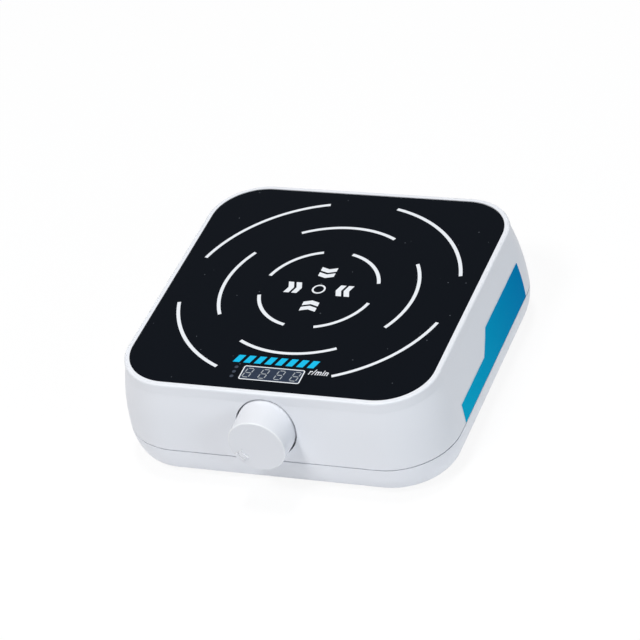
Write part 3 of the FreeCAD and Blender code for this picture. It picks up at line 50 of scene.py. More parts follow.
class Wire:
    """One shader socket. Sums and products of wires add the Math nodes that they need."""

    def __init__(self, tree, socket=None):
        self.tree = tree
        self.socket = socket

    def add(self, kind, settings=None, inputs=None, output=0):
        node = self.tree.nodes.new(kind)
        for name, value in (settings or {}).items():
            setattr(node, name, value)
        for key, value in (inputs or {}).items():
            if isinstance(value, Wire):
                self.tree.links.new(value.socket, node.inputs[key])
            else:
                node.inputs[key].default_value = value
        return Wire(self.tree, node.outputs[output])

    def maths(self, operation, first, second=0.0):
        return self.add("ShaderNodeMath", {"operation": operation}, {0: first, 1: second})

    def __add__(self, other):
        return self.maths("ADD", self, other)

    def __sub__(self, other):
        return self.maths("SUBTRACT", self, other)

    def __rsub__(self, other):
        return self.maths("SUBTRACT", other, self)

    def __mul__(self, other):
        return self.maths("MULTIPLY", self, other)

    def __truediv__(self, other):
        return self.maths("DIVIDE", self, other)

    def __lt__(self, other):
        return self.maths("LESS_THAN", self, other)

    def __gt__(self, other):
        return self.maths("GREATER_THAN", self, other)

    __radd__ = __add__
    __rmul__ = __mul__

    def place(self):
        return self.add("ShaderNodeTexCoord", output="Object")

    def axes(self):
        """The three object coordinates, each as a wire."""
        split = self.add("ShaderNodeSeparateXYZ", inputs={0: self.place()})
        return [Wire(self.tree, socket) for socket in split.socket.node.outputs]

    def noise(self, size, detail=2.0, stretch=(1, 1, 1)):
        """Soft random values from 0 to 1, with grains of about the size given."""
        spot = self.add(
            "ShaderNodeVectorMath", {"operation": "MULTIPLY"}, {0: self.place(), 1: stretch}
        )
        return self.add(
            "ShaderNodeTexNoise", inputs={"Vector": spot, "Scale": 1 / size, "Detail": detail}
        )

    def mix(self, factor, low, high):
        """A colour between two colours."""
        inputs = {"Factor": factor}
        for key, colour in ((6, low), (7, high)):
            inputs[key] = colour if isinstance(colour, Wire) else (*colour, 1.0)
        return self.add("ShaderNodeMix", {"data_type": "RGBA"}, inputs, output=2)

    def bump(self, height, depth):
        """A surface normal from a height between 0 and 1."""
        return self.add(
            "ShaderNodeBump", inputs={"Height": height, "Strength": 1.0, "Distance": depth}
        )


def finish(name, recipe):
    """A material whose Principled sockets come from the recipe, a function of a blank wire."""
    material = bpy.data.materials.new(name)
    material.use_nodes = True
    tree = material.node_tree
    shader = tree.nodes["Principled BSDF"]
    for key, value in recipe(Wire(tree)).items():
        if isinstance(value, Wire):
            tree.links.new(value.socket, shader.inputs[key])
        else:
            shader.inputs[key].default_value = value
    return material


def dress(material, *names):
    """Give CAD nodes a finish in place of their plain one."""
    for name in names:
        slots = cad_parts[name].data.materials
        slots.clear()
        slots.append(material)


def moulded(light, dark, roughness, grain=TOOL_TEXTURE, depth=0.012 * MM):
    """Moulded plastic: slow drifts of tint, and a fine even texture from the tool."""

    def recipe(wire):
        drift = wire.noise(FLOW_PATCH, 3.0)
        texture = wire.noise(grain, 2.0)
        return {
            "Base Color": wire.mix(drift, dark, light),
            "Roughness": roughness - 0.05 + 0.1 * texture,
            "Normal": wire.bump(texture, depth),
            "Specular IOR Level": 0.35,
        }

    return recipe


case_plastic = finish("case_plastic", moulded(CASE_WHITE, CASE_SHADE, 0.42))
dress(case_plastic, "base_shell")

# Feet and case screws: four soft rubber discs pressed into pockets under the corners,
# and four zinc-plated cross-head screws sunk in counterbores beside them.
RUBBER_DARK = (0.018, 0.018, 0.02)
RUBBER_WORN = (0.06, 0.06, 0.062)
RUBBER_GRAIN = 0.5 * MM
RUBBER_PATCH = 6 * MM
ZINC_LIGHT = (0.62, 0.62, 0.63)
ZINC_DULL = (0.42, 0.43, 0.45)
STAIN_PATCH = 9 * MM


def rubber(wire):
    """Soft rubber with a coarse grain, greyed by dust in patches."""
    grain = wire.noise(RUBBER_GRAIN, 3.0)
    dust = wire.noise(RUBBER_PATCH, 4.0)
    return {
        "Base Color": wire.mix(dust, RUBBER_DARK, RUBBER_WORN),
        "Roughness": 0.75 + 0.15 * grain,
        "Normal": wire.bump(grain, 0.05 * MM),
        "Specular IOR Level": 0.3,
    }


def metal(light, dull, roughness, stretch=(1, 1, 1), grain=0.3 * MM):
    """Bare metal with fine marks, drawn out along one axis where it is brushed or drawn."""

    def recipe(wire):
        marks = wire.noise(grain, 3.0, stretch)
        stain = wire.noise(STAIN_PATCH, 3.0)
        return {
            "Base Color": wire.mix(stain, dull, light),
            "Metallic": 1.0,
            "Roughness": roughness - 0.08 + 0.16 * marks,
            "Normal": wire.bump(marks, 0.008 * MM),
        }

    return recipe


foot_rubber = finish("foot_rubber", rubber)
zinc = finish("zinc_screw", metal(ZINC_LIGHT, ZINC_DULL, 0.35))
dress(foot_rubber, "rubber_feet", "plate_grommets")
dress(zinc, "base_screws")

# Motor and its carrier: a flat brushless motor in a drawn steel can, screwed under a stamped
# plate that stands on four rubber grommets, so that its hum stays out of the case.
STEEL_LIGHT = (0.56, 0.57, 0.59)
STEEL_DULL = (0.38, 0.39, 0.41)
GROUND_LIGHT = (0.68, 0.68, 0.69)
IRON_DARK = (0.11, 0.1, 0.1)
IRON_LIGHT = (0.2, 0.19, 0.18)
OIL_PATCH = 5 * MM
LAMINATION = 0.5 * MM
BLACK_LIGHT = (0.03, 0.03, 0.032)
BLACK_DARK = (0.016, 0.016, 0.018)


def laminated(wire):
    """Thin iron sheets stacked along Z, with a film of oil."""
    height = wire.axes()[2]
    sheet = wire.maths("PINGPONG", height, LAMINATION / 2) / (LAMINATION / 2)
    oil = wire.noise(OIL_PATCH, 3.0)
    return {
        "Base Color": wire.mix(oil, IRON_DARK, IRON_LIGHT),
        "Metallic": 0.7,
        "Roughness": 0.45 + 0.2 * sheet,
        "Normal": wire.bump(sheet, 0.05 * MM),
    }


plate_steel = finish("plate_steel", metal(STEEL_LIGHT, STEEL_DULL, 0.38, (1, 0.05, 1)))
shaft_steel = finish("shaft_steel", metal(GROUND_LIGHT, STEEL_LIGHT, 0.22, (0.2, 0.2, 4)))
stator_iron = finish("stator_iron", laminated)
black_plastic = finish("black_plastic", moulded(BLACK_LIGHT, BLACK_DARK, 0.5))
dress(plate_steel, "motor_plate", "motor_can")
dress(shaft_steel, "motor_shaft", "upper_bearing", "lower_bearing")
dress(stator_iron, "motor_stator", "motor_rotor")
dress(black_plastic, "motor_end_cap", "motor_terminal")
dress(zinc, "motor_screws", "plate_screws")

# Magnet drive: two nickel-plated magnets stand in a moulded holder on a steel yoke bar,
# screwed to a turned aluminium hub that a set screw grips on the motor shaft.
NICKEL_LIGHT = (0.66, 0.65, 0.62)
NICKEL_DULL = (0.5, 0.49, 0.47)
ALUMINIUM_LIGHT = (0.74, 0.75, 0.76)
ALUMINIUM_DULL = (0.58, 0.59, 0.6)
magnet_nickel = finish("magnet_nickel", metal(NICKEL_LIGHT, NICKEL_DULL, 0.18, grain=0.8 * MM))
hub_aluminium = finish("hub_aluminium", metal(ALUMINIUM_LIGHT, ALUMINIUM_DULL, 0.3, (0.3, 0.3, 5)))
dress(magnet_nickel, "drive_magnet_north", "drive_magnet_south")
dress(plate_steel, "yoke_bar")
dress(hub_aluminium, "drive_hub")
dress(black_plastic, "magnet_holder")
dress(zinc, "hub_set_screw", "hub_screws")

# Control board: green glass-fibre laminate on four posts, with nylon sockets, two sleeved
# capacitors and two chips, and round jacketed leads to the other pieces.
MASK_GREEN = (0.012, 0.12, 0.055)
TRACE_GREEN = (0.02, 0.19, 0.085)
TRACE_PITCH = 1.27 * MM
TRACE_CELL = 12 * MM
MASK_GRAIN = 0.6 * MM
NYLON_LIGHT = (0.78, 0.76, 0.69)
NYLON_DARK = (0.7, 0.67, 0.59)
SLEEVE_LIGHT = (0.03, 0.045, 0.13)
SLEEVE_DARK = (0.02, 0.03, 0.09)
JACKET_LIGHT = (0.07, 0.07, 0.075)
JACKET_DARK = (0.035, 0.035, 0.038)


def laminate(wire):
    """Solder mask over straight traces that change course from cell to cell."""
    x, y, _ = wire.axes()
    cells = wire.add(
        "ShaderNodeTexVoronoi",
        {"distance": "CHEBYCHEV"},
        {"Vector": wire.place(), "Scale": 1 / TRACE_CELL, "Randomness": 0.7},
        output="Color",
    )
    course = wire.add("ShaderNodeSeparateColor", inputs={0: cells}) > 0.5
    along = x * course + y * (1.0 - course)
    trace = wire.maths("PINGPONG", along, TRACE_PITCH / 2) < TRACE_PITCH / 5
    return {
        "Base Color": wire.mix(trace, MASK_GREEN, TRACE_GREEN),
        "Roughness": 0.3 + 0.15 * wire.noise(MASK_GRAIN),
        "Normal": wire.bump(trace, 0.03 * MM),
    }


board_laminate = finish("board_laminate", laminate)
socket_nylon = finish("socket_nylon", moulded(NYLON_LIGHT, NYLON_DARK, 0.5))
capacitor_sleeve = finish("capacitor_sleeve", moulded(SLEEVE_LIGHT, SLEEVE_DARK, 0.25))
lead_jacket = finish("lead_jacket", moulded(JACKET_LIGHT, JACKET_DARK, 0.45))
dress(board_laminate, "control_board", "display_board")
dress(socket_nylon, "board_sockets", "display_socket")
dress(capacitor_sleeve, "capacitors")
dress(black_plastic, "board_chips")
dress(zinc, "board_screws", "display_screws")
dress(lead_jacket, "motor_lead", "display_lead", "speed_lead", "inlet_lead", "switch_lead")

# Top housing: the upper half of the case, moulded in the same white plastic in one shot.
# A flat band and a rounded lip frame the glass, and round and oblong pockets hold the knob and inlet.
dress(case_plastic, "top_housing")

# Glass plate: tempered glass, 4 mm thick, painted black on its underside and bonded to the deck
# by a black adhesive film. Its face is etched to a dull sheen and carries a little dust.
GLASS_BLACK = (0.004, 0.0055, 0.0085)
DUST_GREY = (0.085, 0.095, 0.11)
DUST_CELL = 5.5 * MM
DUST_SIZE = 0.055
DUST_PATCH = 17 * MM
DUST_SHARE = 0.52
SMEAR_PATCH = 38 * MM
FILM_DARK = (0.012, 0.012, 0.013)
FILM_LIGHT = (0.022, 0.022, 0.023)
FILM_PATCH = 4 * MM
FILM_GRAIN = 0.8 * MM


def painted_glass(wire):
    """Dull black glass, with specks of dust in some places and slow smears."""
    speck = wire.add(
        "ShaderNodeTexVoronoi",
        inputs={"Vector": wire.place(), "Scale": 1 / DUST_CELL, "Randomness": 1.0},
        output="Distance",
    ) < DUST_SIZE
    settled = wire.noise(DUST_PATCH, 2.0) > DUST_SHARE
    smear = wire.noise(SMEAR_PATCH, 4.0)
    return {
        "Base Color": wire.mix(speck * settled, GLASS_BLACK, DUST_GREY),
        "Roughness": 0.3 + 0.16 * smear,
        "Specular IOR Level": 0.01,
    }


def film(wire):
    """Dull black adhesive, slightly uneven in tint."""
    return {
        "Base Color": wire.mix(wire.noise(FILM_PATCH), FILM_DARK, FILM_LIGHT),
        "Roughness": 0.7 + 0.15 * wire.noise(FILM_GRAIN),
    }


black_glass = finish("black_glass", painted_glass)
adhesive_film = finish("adhesive_film", film)
dress(black_glass, "glass_plate")
dress(adhesive_film, "glass_adhesive")

# Printed marks: white ceramic ink, screen printed and fired on the glass. Three broken rings and
# four pairs of arrowheads show where the vessel stands, round one small ring on the stirring axis.
GLASS_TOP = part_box("glass_plate")[1].z
INK_THICKNESS = 0.03 * MM
INK_WHITE = (0.83, 0.85, 0.88)
INK_THIN = (0.72, 0.75, 0.79)
INK_GRAIN = 0.9 * MM
RING_STROKE = 1.67 * MM
BROKEN_RINGS = {
    65.6 * MM: [(15, 75), (105, 165), (195, 245), (295, 345)],
    46.7 * MM: [(60, 120), (150, 210), (240, 300), (330, 390)],
    27.85 * MM: [(15, 75), (105, 165), (195, 255), (285, 345)],
}
RING_STEP = math.radians(2)
CENTRE_RING = 2.82 * MM
CENTRE_STROKE = 0.85 * MM
ARROW_TIPS = [8.4 * MM, 12.3 * MM]
ARROW_STROKE = 2.65 * MM
ARROW_SWEEP = 1.3 * MM
ARROW_HALF = 3.9 * MM
MERGE_GAP = 0.001 * MM


def printed(full, thin):
    """Screen ink of one colour, thinner in the grain of the screen."""

    def recipe(wire):
        cover = wire.noise(INK_GRAIN, 3.0)
        return {
            "Base Color": wire.mix(cover, thin, full),
            "Roughness": 0.5 + 0.15 * cover,
            "Specular IOR Level": 0.2,
        }

    return recipe


def slab(mesh, outline, low, high):
    """A flat plate between two heights, from a closed outline of (x, y) points."""
    corners = [mesh.verts.new((x, y, low)) for x, y in outline]
    face = mesh.faces.new(corners)
    grown = bmesh.ops.extrude_face_region(mesh, geom=[face])["geom"]
    raised = [item for item in grown if isinstance(item, bmesh.types.BMVert)]
    bmesh.ops.translate(mesh, verts=raised, vec=(0, 0, high - low))
    return corners + raised


def swept_mark(mesh, radius, stroke, start, sweep, low=GLASS_TOP):
    """A flat stroke swept about the Z axis, or a whole ring where the sweep is a full turn."""
    corners = []
    for reach, height in ((-1, 0), (1, 0), (1, INK_THICKNESS), (-1, INK_THICKNESS)):
        corners.append(mesh.verts.new((radius + reach * stroke / 2, 0, low + height)))
    face = mesh.faces.new(corners)
    section = list(face.edges) + corners
    whole = sweep > math.tau - RING_STEP
    if whole:
        bmesh.ops.delete(mesh, geom=[face], context="FACES_ONLY")
    else:
        section.append(face)
    bmesh.ops.rotate(mesh, verts=corners, cent=(0, 0, 0), matrix=Matrix.Rotation(start, 3, "Z"))
    bmesh.ops.spin(
        mesh, geom=section, axis=(0, 0, 1), cent=(0, 0, 0), angle=sweep,
        steps=round(sweep / RING_STEP), use_merge=whole,
    )


def piece(name, mesh, material, body):
    """Close up a mesh, and make it a piece of the object that rides on a body."""
    bmesh.ops.remove_doubles(mesh, verts=mesh.verts, dist=MERGE_GAP)
    bmesh.ops.recalc_face_normals(mesh, faces=mesh.faces)
    data = bpy.data.meshes.new(name)
    mesh.to_mesh(data)
    mesh.free()
    data.materials.append(material)
    item = bpy.data.objects.new(name, data)
    bpy.context.scene.collection.objects.link(item)
    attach(item, body)


white_ink = finish("white_ink", printed(INK_WHITE, INK_THIN))
rings = bmesh.new()
for radius, arcs in BROKEN_RINGS.items():
    for start, end in arcs:
        swept_mark(rings, radius, RING_STROKE, math.radians(start), math.radians(end - start))
piece("printed_rings", rings, white_ink, "case")
axis_ring = bmesh.new()
swept_mark(axis_ring, CENTRE_RING, CENTRE_STROKE, 0, math.tau)
piece("printed_axis_ring", axis_ring, white_ink, "case")
arrows = bmesh.new()
for quarter in range(4):
    for tip in ARROW_TIPS:
        outline = [
            (tip, 0),
            (tip + ARROW_SWEEP, ARROW_HALF),
            (tip + ARROW_SWEEP + ARROW_STROKE, ARROW_HALF),
            (tip + ARROW_STROKE, 0),
            (tip + ARROW_SWEEP + ARROW_STROKE, -ARROW_HALF),
            (tip + ARROW_SWEEP, -ARROW_HALF),
        ]
        corners = slab(arrows, outline, GLASS_TOP, GLASS_TOP + INK_THICKNESS)
        turn = Matrix.Rotation(quarter * math.pi / 2, 3, "Z")
        bmesh.ops.rotate(arrows, verts=corners, cent=(0, 0, 0), matrix=turn)
piece("printed_arrows", arrows, white_ink, "case")

# Display: a four-digit module of unlit seven-segment figures behind a clear window in the paint,
# with a printed white frame, three light dots beside it and the unit of speed.
display_low, display_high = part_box("digit_display")
DISPLAY_Y = (display_low.y + display_high.y) / 2
FRAME_HALF = (14.7 * MM, 4.75 * MM)
FRAME_CORNER = 1.1 * MM
CORNER_STEPS = 8
FRAME_STROKE = 0.55 * MM
DIGIT_COUNT = 4
DIGIT_PITCH = 7.6 * MM
DIGIT_HALF = (1.55 * MM, 3.05 * MM)
DIGIT_SLANT = math.tan(math.radians(9))
SEGMENT_WIDTH = 0.5 * MM
SEGMENT_GAP = 0.3 * MM
WINDOW_BLUE = (0.024, 0.035, 0.06)
WINDOW_GREY = (0.034, 0.047, 0.078)
SEGMENT_GREY = (0.56, 0.59, 0.61)
SEGMENT_DULL = (0.2, 0.23, 0.26)
WINDOW_PATCH = 2.5 * MM
SEGMENT_PATCH = 0.8 * MM
DOT_GREY = (0.06, 0.07, 0.085)
DOT_STEPS = 24
EPOXY_LIGHT = (0.72, 0.72, 0.7)
EPOXY_DARK = (0.62, 0.62, 0.6)
UNIT_WORD = "r/min"
UNIT_LEFT = 16.3 * MM
UNIT_BASE = -59.6 * MM
UNIT_SIZE = 4.0 * MM
UNIT_BOLDNESS = 0.06 * MM
UNIT_SPACING = 1.1
UNIT_STRETCH = 1.3
UNIT_SHEAR = 0.2


def smoked(wire):
    """A dark tinted window with a slight haze."""
    haze = wire.noise(WINDOW_PATCH, 3.0)
    return {
        "Base Color": wire.mix(haze, WINDOW_BLUE, WINDOW_GREY),
        "Roughness": 0.22 + 0.1 * haze,
        "Specular IOR Level": 0.02,
    }


def unlit(light, dull):
    """Clear resin over a light that is off, milky in places."""

    def recipe(wire):
        haze = wire.noise(SEGMENT_PATCH, 2.0)
        return {
            "Base Color": wire.mix(haze, dull, light),
            "Roughness": 0.35 + 0.1 * haze,
            "Specular IOR Level": 0.05,
        }

    return recipe


def oblong(half_x, half_y):
    """Outline of a rectangle round the origin."""
    return [(-half_x, -half_y), (half_x, -half_y), (half_x, half_y), (-half_x, half_y)]


def rounded(mesh, half, corner, low, high):
    """A flat plate with rounded corners round the middle of the display."""
    corners = slab(mesh, oblong(*half), low, high)
    bmesh.ops.translate(mesh, verts=corners, vec=(0, DISPLAY_Y, 0))
    upright = [e for e in mesh.edges if abs(e.verts[0].co.z - e.verts[1].co.z) > (high - low) / 2]
    bmesh.ops.bevel(
        mesh, geom=upright, offset=corner, segments=CORNER_STEPS, profile=0.5, affect="EDGES", material=-1
    )


def segment_bar(half_length, half_width):
    """Outline of one segment, a bar with pointed ends along X."""
    neck = half_length - half_width
    return [
        (-half_length, 0), (-neck, -half_width), (neck, -half_width),
        (half_length, 0), (neck, half_width), (-neck, half_width),
    ]


window = bmesh.new()
rounded(window, FRAME_HALF, FRAME_CORNER, GLASS_TOP, GLASS_TOP + INK_THICKNESS / 3)
piece("display_window", window, finish("smoked_window", smoked), "case")
border = bmesh.new()
rounded(border, FRAME_HALF, FRAME_CORNER, GLASS_TOP, GLASS_TOP + INK_THICKNESS)
caps = [face for face in border.faces if abs(face.normal.z) > 0.5]
bmesh.ops.inset_region(border, faces=caps, thickness=FRAME_STROKE, use_even_offset=True)
inner_edges = [edge for face in caps for edge in face.edges]
bmesh.ops.delete(border, geom=caps, context="FACES_ONLY")
bmesh.ops.bridge_loops(border, edges=[edge for edge in inner_edges if edge.is_valid])
piece("printed_display_frame", border, white_ink, "case")
digits = bmesh.new()
digit_low = GLASS_TOP + INK_THICKNESS / 3
half_x, half_y = DIGIT_HALF
level_bars = [(0, y, 0, half_x) for y in (-half_y, 0, half_y)]
upright_bars = [
    (x, y, math.pi / 2, half_y / 2) for x in (-half_x, half_x) for y in (-half_y / 2, half_y / 2)
]
for column in range(DIGIT_COUNT):
    middle_x = (column - (DIGIT_COUNT - 1) / 2) * DIGIT_PITCH
    for x, y, turn, half_length in level_bars + upright_bars:
        outline = segment_bar(half_length - SEGMENT_GAP, SEGMENT_WIDTH / 2)
        bar = slab(digits, outline, digit_low, digit_low + INK_THICKNESS / 3)
        bmesh.ops.rotate(digits, verts=bar, cent=(0, 0, 0), matrix=Matrix.Rotation(turn, 3, "Z"))
        bmesh.ops.translate(digits, verts=bar, vec=(x, y, 0))
        for corner in bar:
            corner.co.x += corner.co.y * DIGIT_SLANT + middle_x
            corner.co.y += DISPLAY_Y
unlit_segments = finish("unlit_segments", unlit(SEGMENT_GREY, SEGMENT_DULL))
piece("display_digits", digits, unlit_segments, "case")
light_low, light_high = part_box("indicator_leds")
dot_radius = (light_high.x - light_low.x) / 2
dot_pitch = (light_high.y - light_low.y) / 2 - dot_radius
dots = bmesh.new()
for row in (-1, 0, 1):
    spot = (light_low.x + dot_radius, DISPLAY_Y + row * dot_pitch, GLASS_TOP + INK_THICKNESS / 2)
    bmesh.ops.create_cone(
        dots, cap_ends=True, segments=DOT_STEPS, radius1=dot_radius, radius2=dot_radius,
        depth=INK_THICKNESS, matrix=Matrix.Translation(spot),
    )
unlit_dot = finish("unlit_dot", unlit(DOT_GREY, WINDOW_GREY))
piece("indicator_dots", dots, unlit_dot, "case")
lettering = bpy.data.curves.new("unit_lettering", "FONT")
lettering.body = UNIT_WORD
lettering.size = UNIT_SIZE
lettering.shear = UNIT_SHEAR
lettering.offset = UNIT_BOLDNESS
lettering.space_character = UNIT_SPACING
lettering.extrude = INK_THICKNESS / 2
unit = bpy.data.objects.new("unit_text", lettering)
bpy.context.scene.collection.objects.link(unit)
drawn_unit = unit.evaluated_get(bpy.context.evaluated_depsgraph_get())
unit_mesh = bmesh.new()
unit_mesh.from_mesh(bpy.data.meshes.new_from_object(drawn_unit))
bpy.data.objects.remove(unit)
unit_place = (UNIT_LEFT, UNIT_BASE, GLASS_TOP + INK_THICKNESS / 2)
bmesh.ops.scale(unit_mesh, verts=unit_mesh.verts, vec=(1, UNIT_STRETCH, 1))
bmesh.ops.translate(unit_mesh, verts=unit_mesh.verts, vec=unit_place)
piece("printed_unit", unit_mesh, white_ink, "case")
display_epoxy = finish("display_epoxy", moulded(WINDOW_GREY, WINDOW_BLUE, 0.3))
led_epoxy = finish("led_epoxy", moulded(EPOXY_LIGHT, EPOXY_DARK, 0.2))
dress(display_epoxy, "digit_display")
dress(led_epoxy, "indicator_leds")

# Accent bars: a row of plain slanted bars behind the display, in a cyan ceramic ink
# that is screen printed and fired on the glass as the white marks are.
BAR_COUNT = 8
BAR_ROW = (-21.5 * MM, 19.5 * MM)
BAR_NEAR = -55.3 * MM
BAR_FAR = -50.3 * MM
BAR_FILL = 0.62
BAR_SLANT = 1.6 * MM
CYAN = (0.0, 0.5, 0.8)
CYAN_THIN = (0.0, 0.42, 0.7)
cyan_ink = finish("cyan_ink", printed(CYAN, CYAN_THIN))
bars = bmesh.new()
bar_pitch = (BAR_ROW[1] - BAR_ROW[0]) / BAR_COUNT
for step in range(BAR_COUNT):
    left = BAR_ROW[0] + step * bar_pitch
    right = left + BAR_FILL * bar_pitch
    outline = [
        (left, BAR_NEAR), (right, BAR_NEAR),
        (right + BAR_SLANT, BAR_FAR), (left + BAR_SLANT, BAR_FAR),
    ]
    slab(bars, outline, GLASS_TOP, GLASS_TOP + INK_THICKNESS)
piece("printed_accent_bars", bars, cyan_ink, "case")

# Side label: a blue printed polyester film, cut with one sloping step and stuck on the right wall.
# The blue is deep at the rear and lighter at the front, with a faint weave.
label_low, label_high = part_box("side_label")
LABEL_REAR_BLUE = (0.0, 0.22, 0.49)
LABEL_FRONT_BLUE = (0.002, 0.43, 0.67)
LABEL_WEAVE = 0.4 * MM
WEAVE_TINT = 0.06


def label(wire):
    """Blue film that is darker towards the rear, with a fine weave."""
    run = (wire.axes()[1] - label_low.y) / (label_high.y - label_low.y)
    weave = wire.noise(LABEL_WEAVE, 2.0)
    tint = run + WEAVE_TINT * (weave - 0.5)
    return {
        "Base Color": wire.mix(tint, LABEL_FRONT_BLUE, LABEL_REAR_BLUE),
        "Roughness": 0.42 + 0.1 * weave,
        "Normal": wire.bump(weave, 0.004 * MM),
        "Specular IOR Level": 0.002,
    }


label_film = finish("label_film", label)
dress(label_film, "side_label")

# Speed knob and potentiometer: a white moulded cap with two raised chevrons as its pointer,
# pushed on the flatted shaft of a potentiometer that a nut holds in the front wall.
KNOB_WHITE = (0.755, 0.768, 0.805)
KNOB_SHADE = (0.725, 0.74, 0.78)
# Painted highlight: a lighter colour on the pointer's flanks, and a smaller share of it on the rim round
# the face.
HIGHLIGHT_WHITE = (0.94, 0.945, 0.95)
EDGE_MARGIN = 0.05 * MM
POINTER_RISE = 0.7 * MM
RIM_DEPTH = 0.5 * MM
RIM_HIGHLIGHT_SHARE = 0.4
BRASS_LIGHT = (0.72, 0.56, 0.3)
BRASS_DULL = (0.55, 0.42, 0.22)


def knob_moulding(wire):
    """The knob's plastic, with a highlight painted as a lighter colour on the flanks of its raised
    pointer and round the edge of its face.
    """
    sockets = moulded(KNOB_WHITE, KNOB_SHADE, 0.5)(wire)
    depth = wire.axes()[1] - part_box("speed_knob")[0].y
    # Painted highlight on the pointer's flanks and the face's rim, where lamps would glint.
    flank_highlight = (depth > EDGE_MARGIN) * (depth < POINTER_RISE - EDGE_MARGIN)
    rim_highlight = (depth > POINTER_RISE + EDGE_MARGIN) * (depth < POINTER_RISE + RIM_DEPTH)
    sockets["Base Color"] = wire.mix(flank_highlight + RIM_HIGHLIGHT_SHARE * rim_highlight, sockets["Base Color"], HIGHLIGHT_WHITE)
    return sockets


knob_plastic = finish("knob_plastic", knob_moulding)
contact_brass = finish("contact_brass", metal(BRASS_LIGHT, BRASS_DULL, 0.3))
dress(knob_plastic, "speed_knob")
dress(shaft_steel, "pot_shaft")
dress(black_plastic, "pot_body")
dress(contact_brass, "pot_bushing", "pot_pins")
dress(zinc, "pot_washer", "pot_nut")

# Inlet and power switch: a round jack with a centre pin, held by a nut behind the rear wall,
# and a snap-in rocker switch with the usual white line and circle on its two halves.
ROCKER_PIVOT = Vector((14.0, 75.4, 30.0)) * MM
ROCKER_CROWN = 2.2 * MM
ROCKER_TILT = math.radians(10)
SIGN_OUT = 2.9 * MM
SIGN_RADIUS = 1.15 * MM
SIGN_STROKE = 0.5 * MM
SIGN_HALF = 1.4 * MM


def rocker_sign(name, mesh, side):
    """Lay a flat sign on one half of the rocker, whose two halves rise from its middle."""
    step = Matrix.Translation((side * SIGN_OUT, 0, 0)) @ Matrix.Rotation(-math.pi / 2, 4, "X")
    rise = Matrix.Translation((0, ROCKER_CROWN, 0)) @ Matrix.Rotation(side * ROCKER_TILT, 4, "Z")
    rest = Matrix.Translation(ROCKER_PIVOT) @ Matrix.Rotation(-ROCKER_TILT, 4, "Z")
    bmesh.ops.transform(mesh, verts=mesh.verts, matrix=rest @ rise @ step)
    piece(name, mesh, white_ink, "rocker")


dress(black_plastic, "dc_jack", "switch_frame", "switch_rocker")
dress(contact_brass, "dc_jack_pin", "dc_jack_tabs", "switch_tabs")
dress(zinc, "dc_jack_nut")
off_sign = bmesh.new()
swept_mark(off_sign, SIGN_RADIUS, SIGN_STROKE, 0, math.tau, low=0)
rocker_sign("switch_off_sign", off_sign, 1)
on_sign = bmesh.new()
slab(on_sign, oblong(SIGN_STROKE / 2, SIGN_HALF), 0, INK_THICKNESS)
rocker_sign("switch_on_sign", on_sign, -1)

# Stage: a plain pale floor under soft studio light. The key lamp stands high in front, one more lamp
# hangs overhead, a weak fill stands on the right, and the camera has a long lens and a slight roll.
FLOOR_SIZE = 6.0
KEY_PLACE = (-0.38, -1.0, 1.72)
KEY_SIZE = 0.45
KEY_POWER = 19.3
TOP_PLACE = (0.0, 0.2, 2.0)
TOP_SIZE = 0.32
TOP_POWER = 18.0
FILL_PLACE = (1.65, -0.8, 0.85)
FILL_SIZE = 0.6
FILL_POWER = 8.2
FILL_COLOUR = (0.82, 0.92, 1.0)
SKY_LEVEL = 0.14
FLOOR_WHITE = (0.95, 0.95, 0.96)
FLOOR_GLOW = 0.9
FLOOR_DROP = 0.1 * MM
LENS = 171.84
SENSOR_WIDTH = 36.0
CAMERA_AZIMUTH = math.radians(27.80)
CAMERA_ELEVATION = math.radians(36.64)
CAMERA_ROLL = math.radians(-12.88)
CAMERA_DISTANCE = 1397 * MM
AIM_ACROSS = 0.56 * MM
AIM_UP = -14.08 * MM
DIRECT_RAYS = ("Is Camera Ray", "Is Glossy Ray", "Is Transmission Ray")


def seen_directly(wire):
    """One where a camera, mirror or glass ray looks, and nought for light that only bounces."""
    path = wire.add("ShaderNodeLightPath").socket.node.outputs
    camera_ray, glossy_ray, glass_ray = [Wire(wire.tree, path[name]) for name in DIRECT_RAYS]
    return wire.maths("MAXIMUM", wire.maths("MAXIMUM", camera_ray, glossy_ray), glass_ray)


floor_mesh = bmesh.new()
bmesh.ops.create_grid(floor_mesh, x_segments=1, y_segments=1, size=FLOOR_SIZE / 2)
floor_data = bpy.data.meshes.new("floor")
floor_mesh.to_mesh(floor_data)
floor_mesh.free()
floor = bpy.data.objects.new("floor", floor_data)
floor.location.z = -FLOOR_DROP
bpy.context.scene.collection.objects.link(floor)
paper = bpy.data.materials.new("floor_paper")
paper.use_nodes = True
sheet = Wire(paper.node_tree)
paper.node_tree.nodes.clear()
matt = sheet.add("ShaderNodeBsdfDiffuse", inputs={"Color": (*FLOOR_WHITE, 1.0)})
glow = sheet.add("ShaderNodeEmission", inputs={"Color": (1.0, 1.0, 1.0, 1.0), "Strength": 1.0})
share = FLOOR_GLOW * seen_directly(sheet)
blend = sheet.add("ShaderNodeMixShader", inputs={0: share, 1: matt, 2: glow})
surface = paper.node_tree.nodes.new("ShaderNodeOutputMaterial")
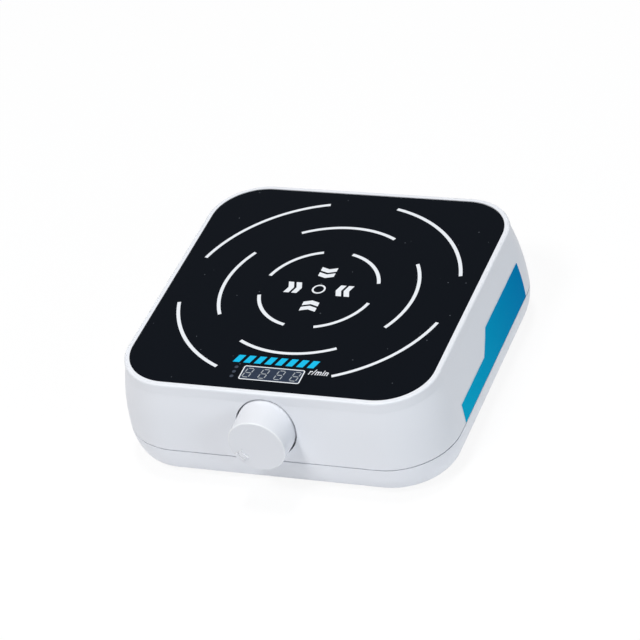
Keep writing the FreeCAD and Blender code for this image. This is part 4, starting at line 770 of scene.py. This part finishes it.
paper.node_tree.links.new(blend.socket, surface.inputs["Surface"])
floor_data.materials.append(paper)

world = bpy.data.worlds.new("studio")
world.use_nodes = True
bpy.context.scene.world = world
sky = Wire(world.node_tree)
backdrop = world.node_tree.nodes["Background"]
backdrop.inputs["Color"].default_value = (1.0, 1.0, 1.0, 1.0)
level = SKY_LEVEL + (1 - SKY_LEVEL) * seen_directly(sky)
world.node_tree.links.new(level.socket, backdrop.inputs["Strength"])


def lamp(name, place, size, power, colour=(1.0, 1.0, 1.0)):
    """A soft square lamp that faces the stirrer."""
    data = bpy.data.lights.new(name, "AREA")
    data.color = colour
    data.size = size
    data.energy = power
    item = bpy.data.objects.new(name, data)
    item.location = place
    item.rotation_euler = (-Vector(place)).to_track_quat("-Z", "Y").to_euler()
    bpy.context.scene.collection.objects.link(item)


lamp("key_lamp", KEY_PLACE, KEY_SIZE, KEY_POWER)
lamp("top_lamp", TOP_PLACE, TOP_SIZE, TOP_POWER)
lamp("fill_lamp", FILL_PLACE, FILL_SIZE, FILL_POWER, FILL_COLOUR)

back = Vector((
    math.sin(CAMERA_AZIMUTH) * math.cos(CAMERA_ELEVATION),
    -math.cos(CAMERA_AZIMUTH) * math.cos(CAMERA_ELEVATION),
    math.sin(CAMERA_ELEVATION),
))
level_right = Vector((0, 0, 1)).cross(back).normalized()
level_up = back.cross(level_right)
right = math.cos(CAMERA_ROLL) * level_right + math.sin(CAMERA_ROLL) * level_up
up = math.cos(CAMERA_ROLL) * level_up - math.sin(CAMERA_ROLL) * level_right
eye = Vector((0, 0, GLASS_TOP)) + back * CAMERA_DISTANCE + right * AIM_ACROSS + up * AIM_UP
camera_data = bpy.data.cameras.new("camera")
camera_data.lens = LENS
camera_data.sensor_width = SENSOR_WIDTH
camera = bpy.data.objects.new("camera", camera_data)
camera.matrix_world = Matrix((right, up, back)).transposed().to_4x4()
camera.location = eye
bpy.context.scene.collection.objects.link(camera)
bpy.context.scene.camera = camera
bpy.context.scene.view_settings.view_transform = "Standard"
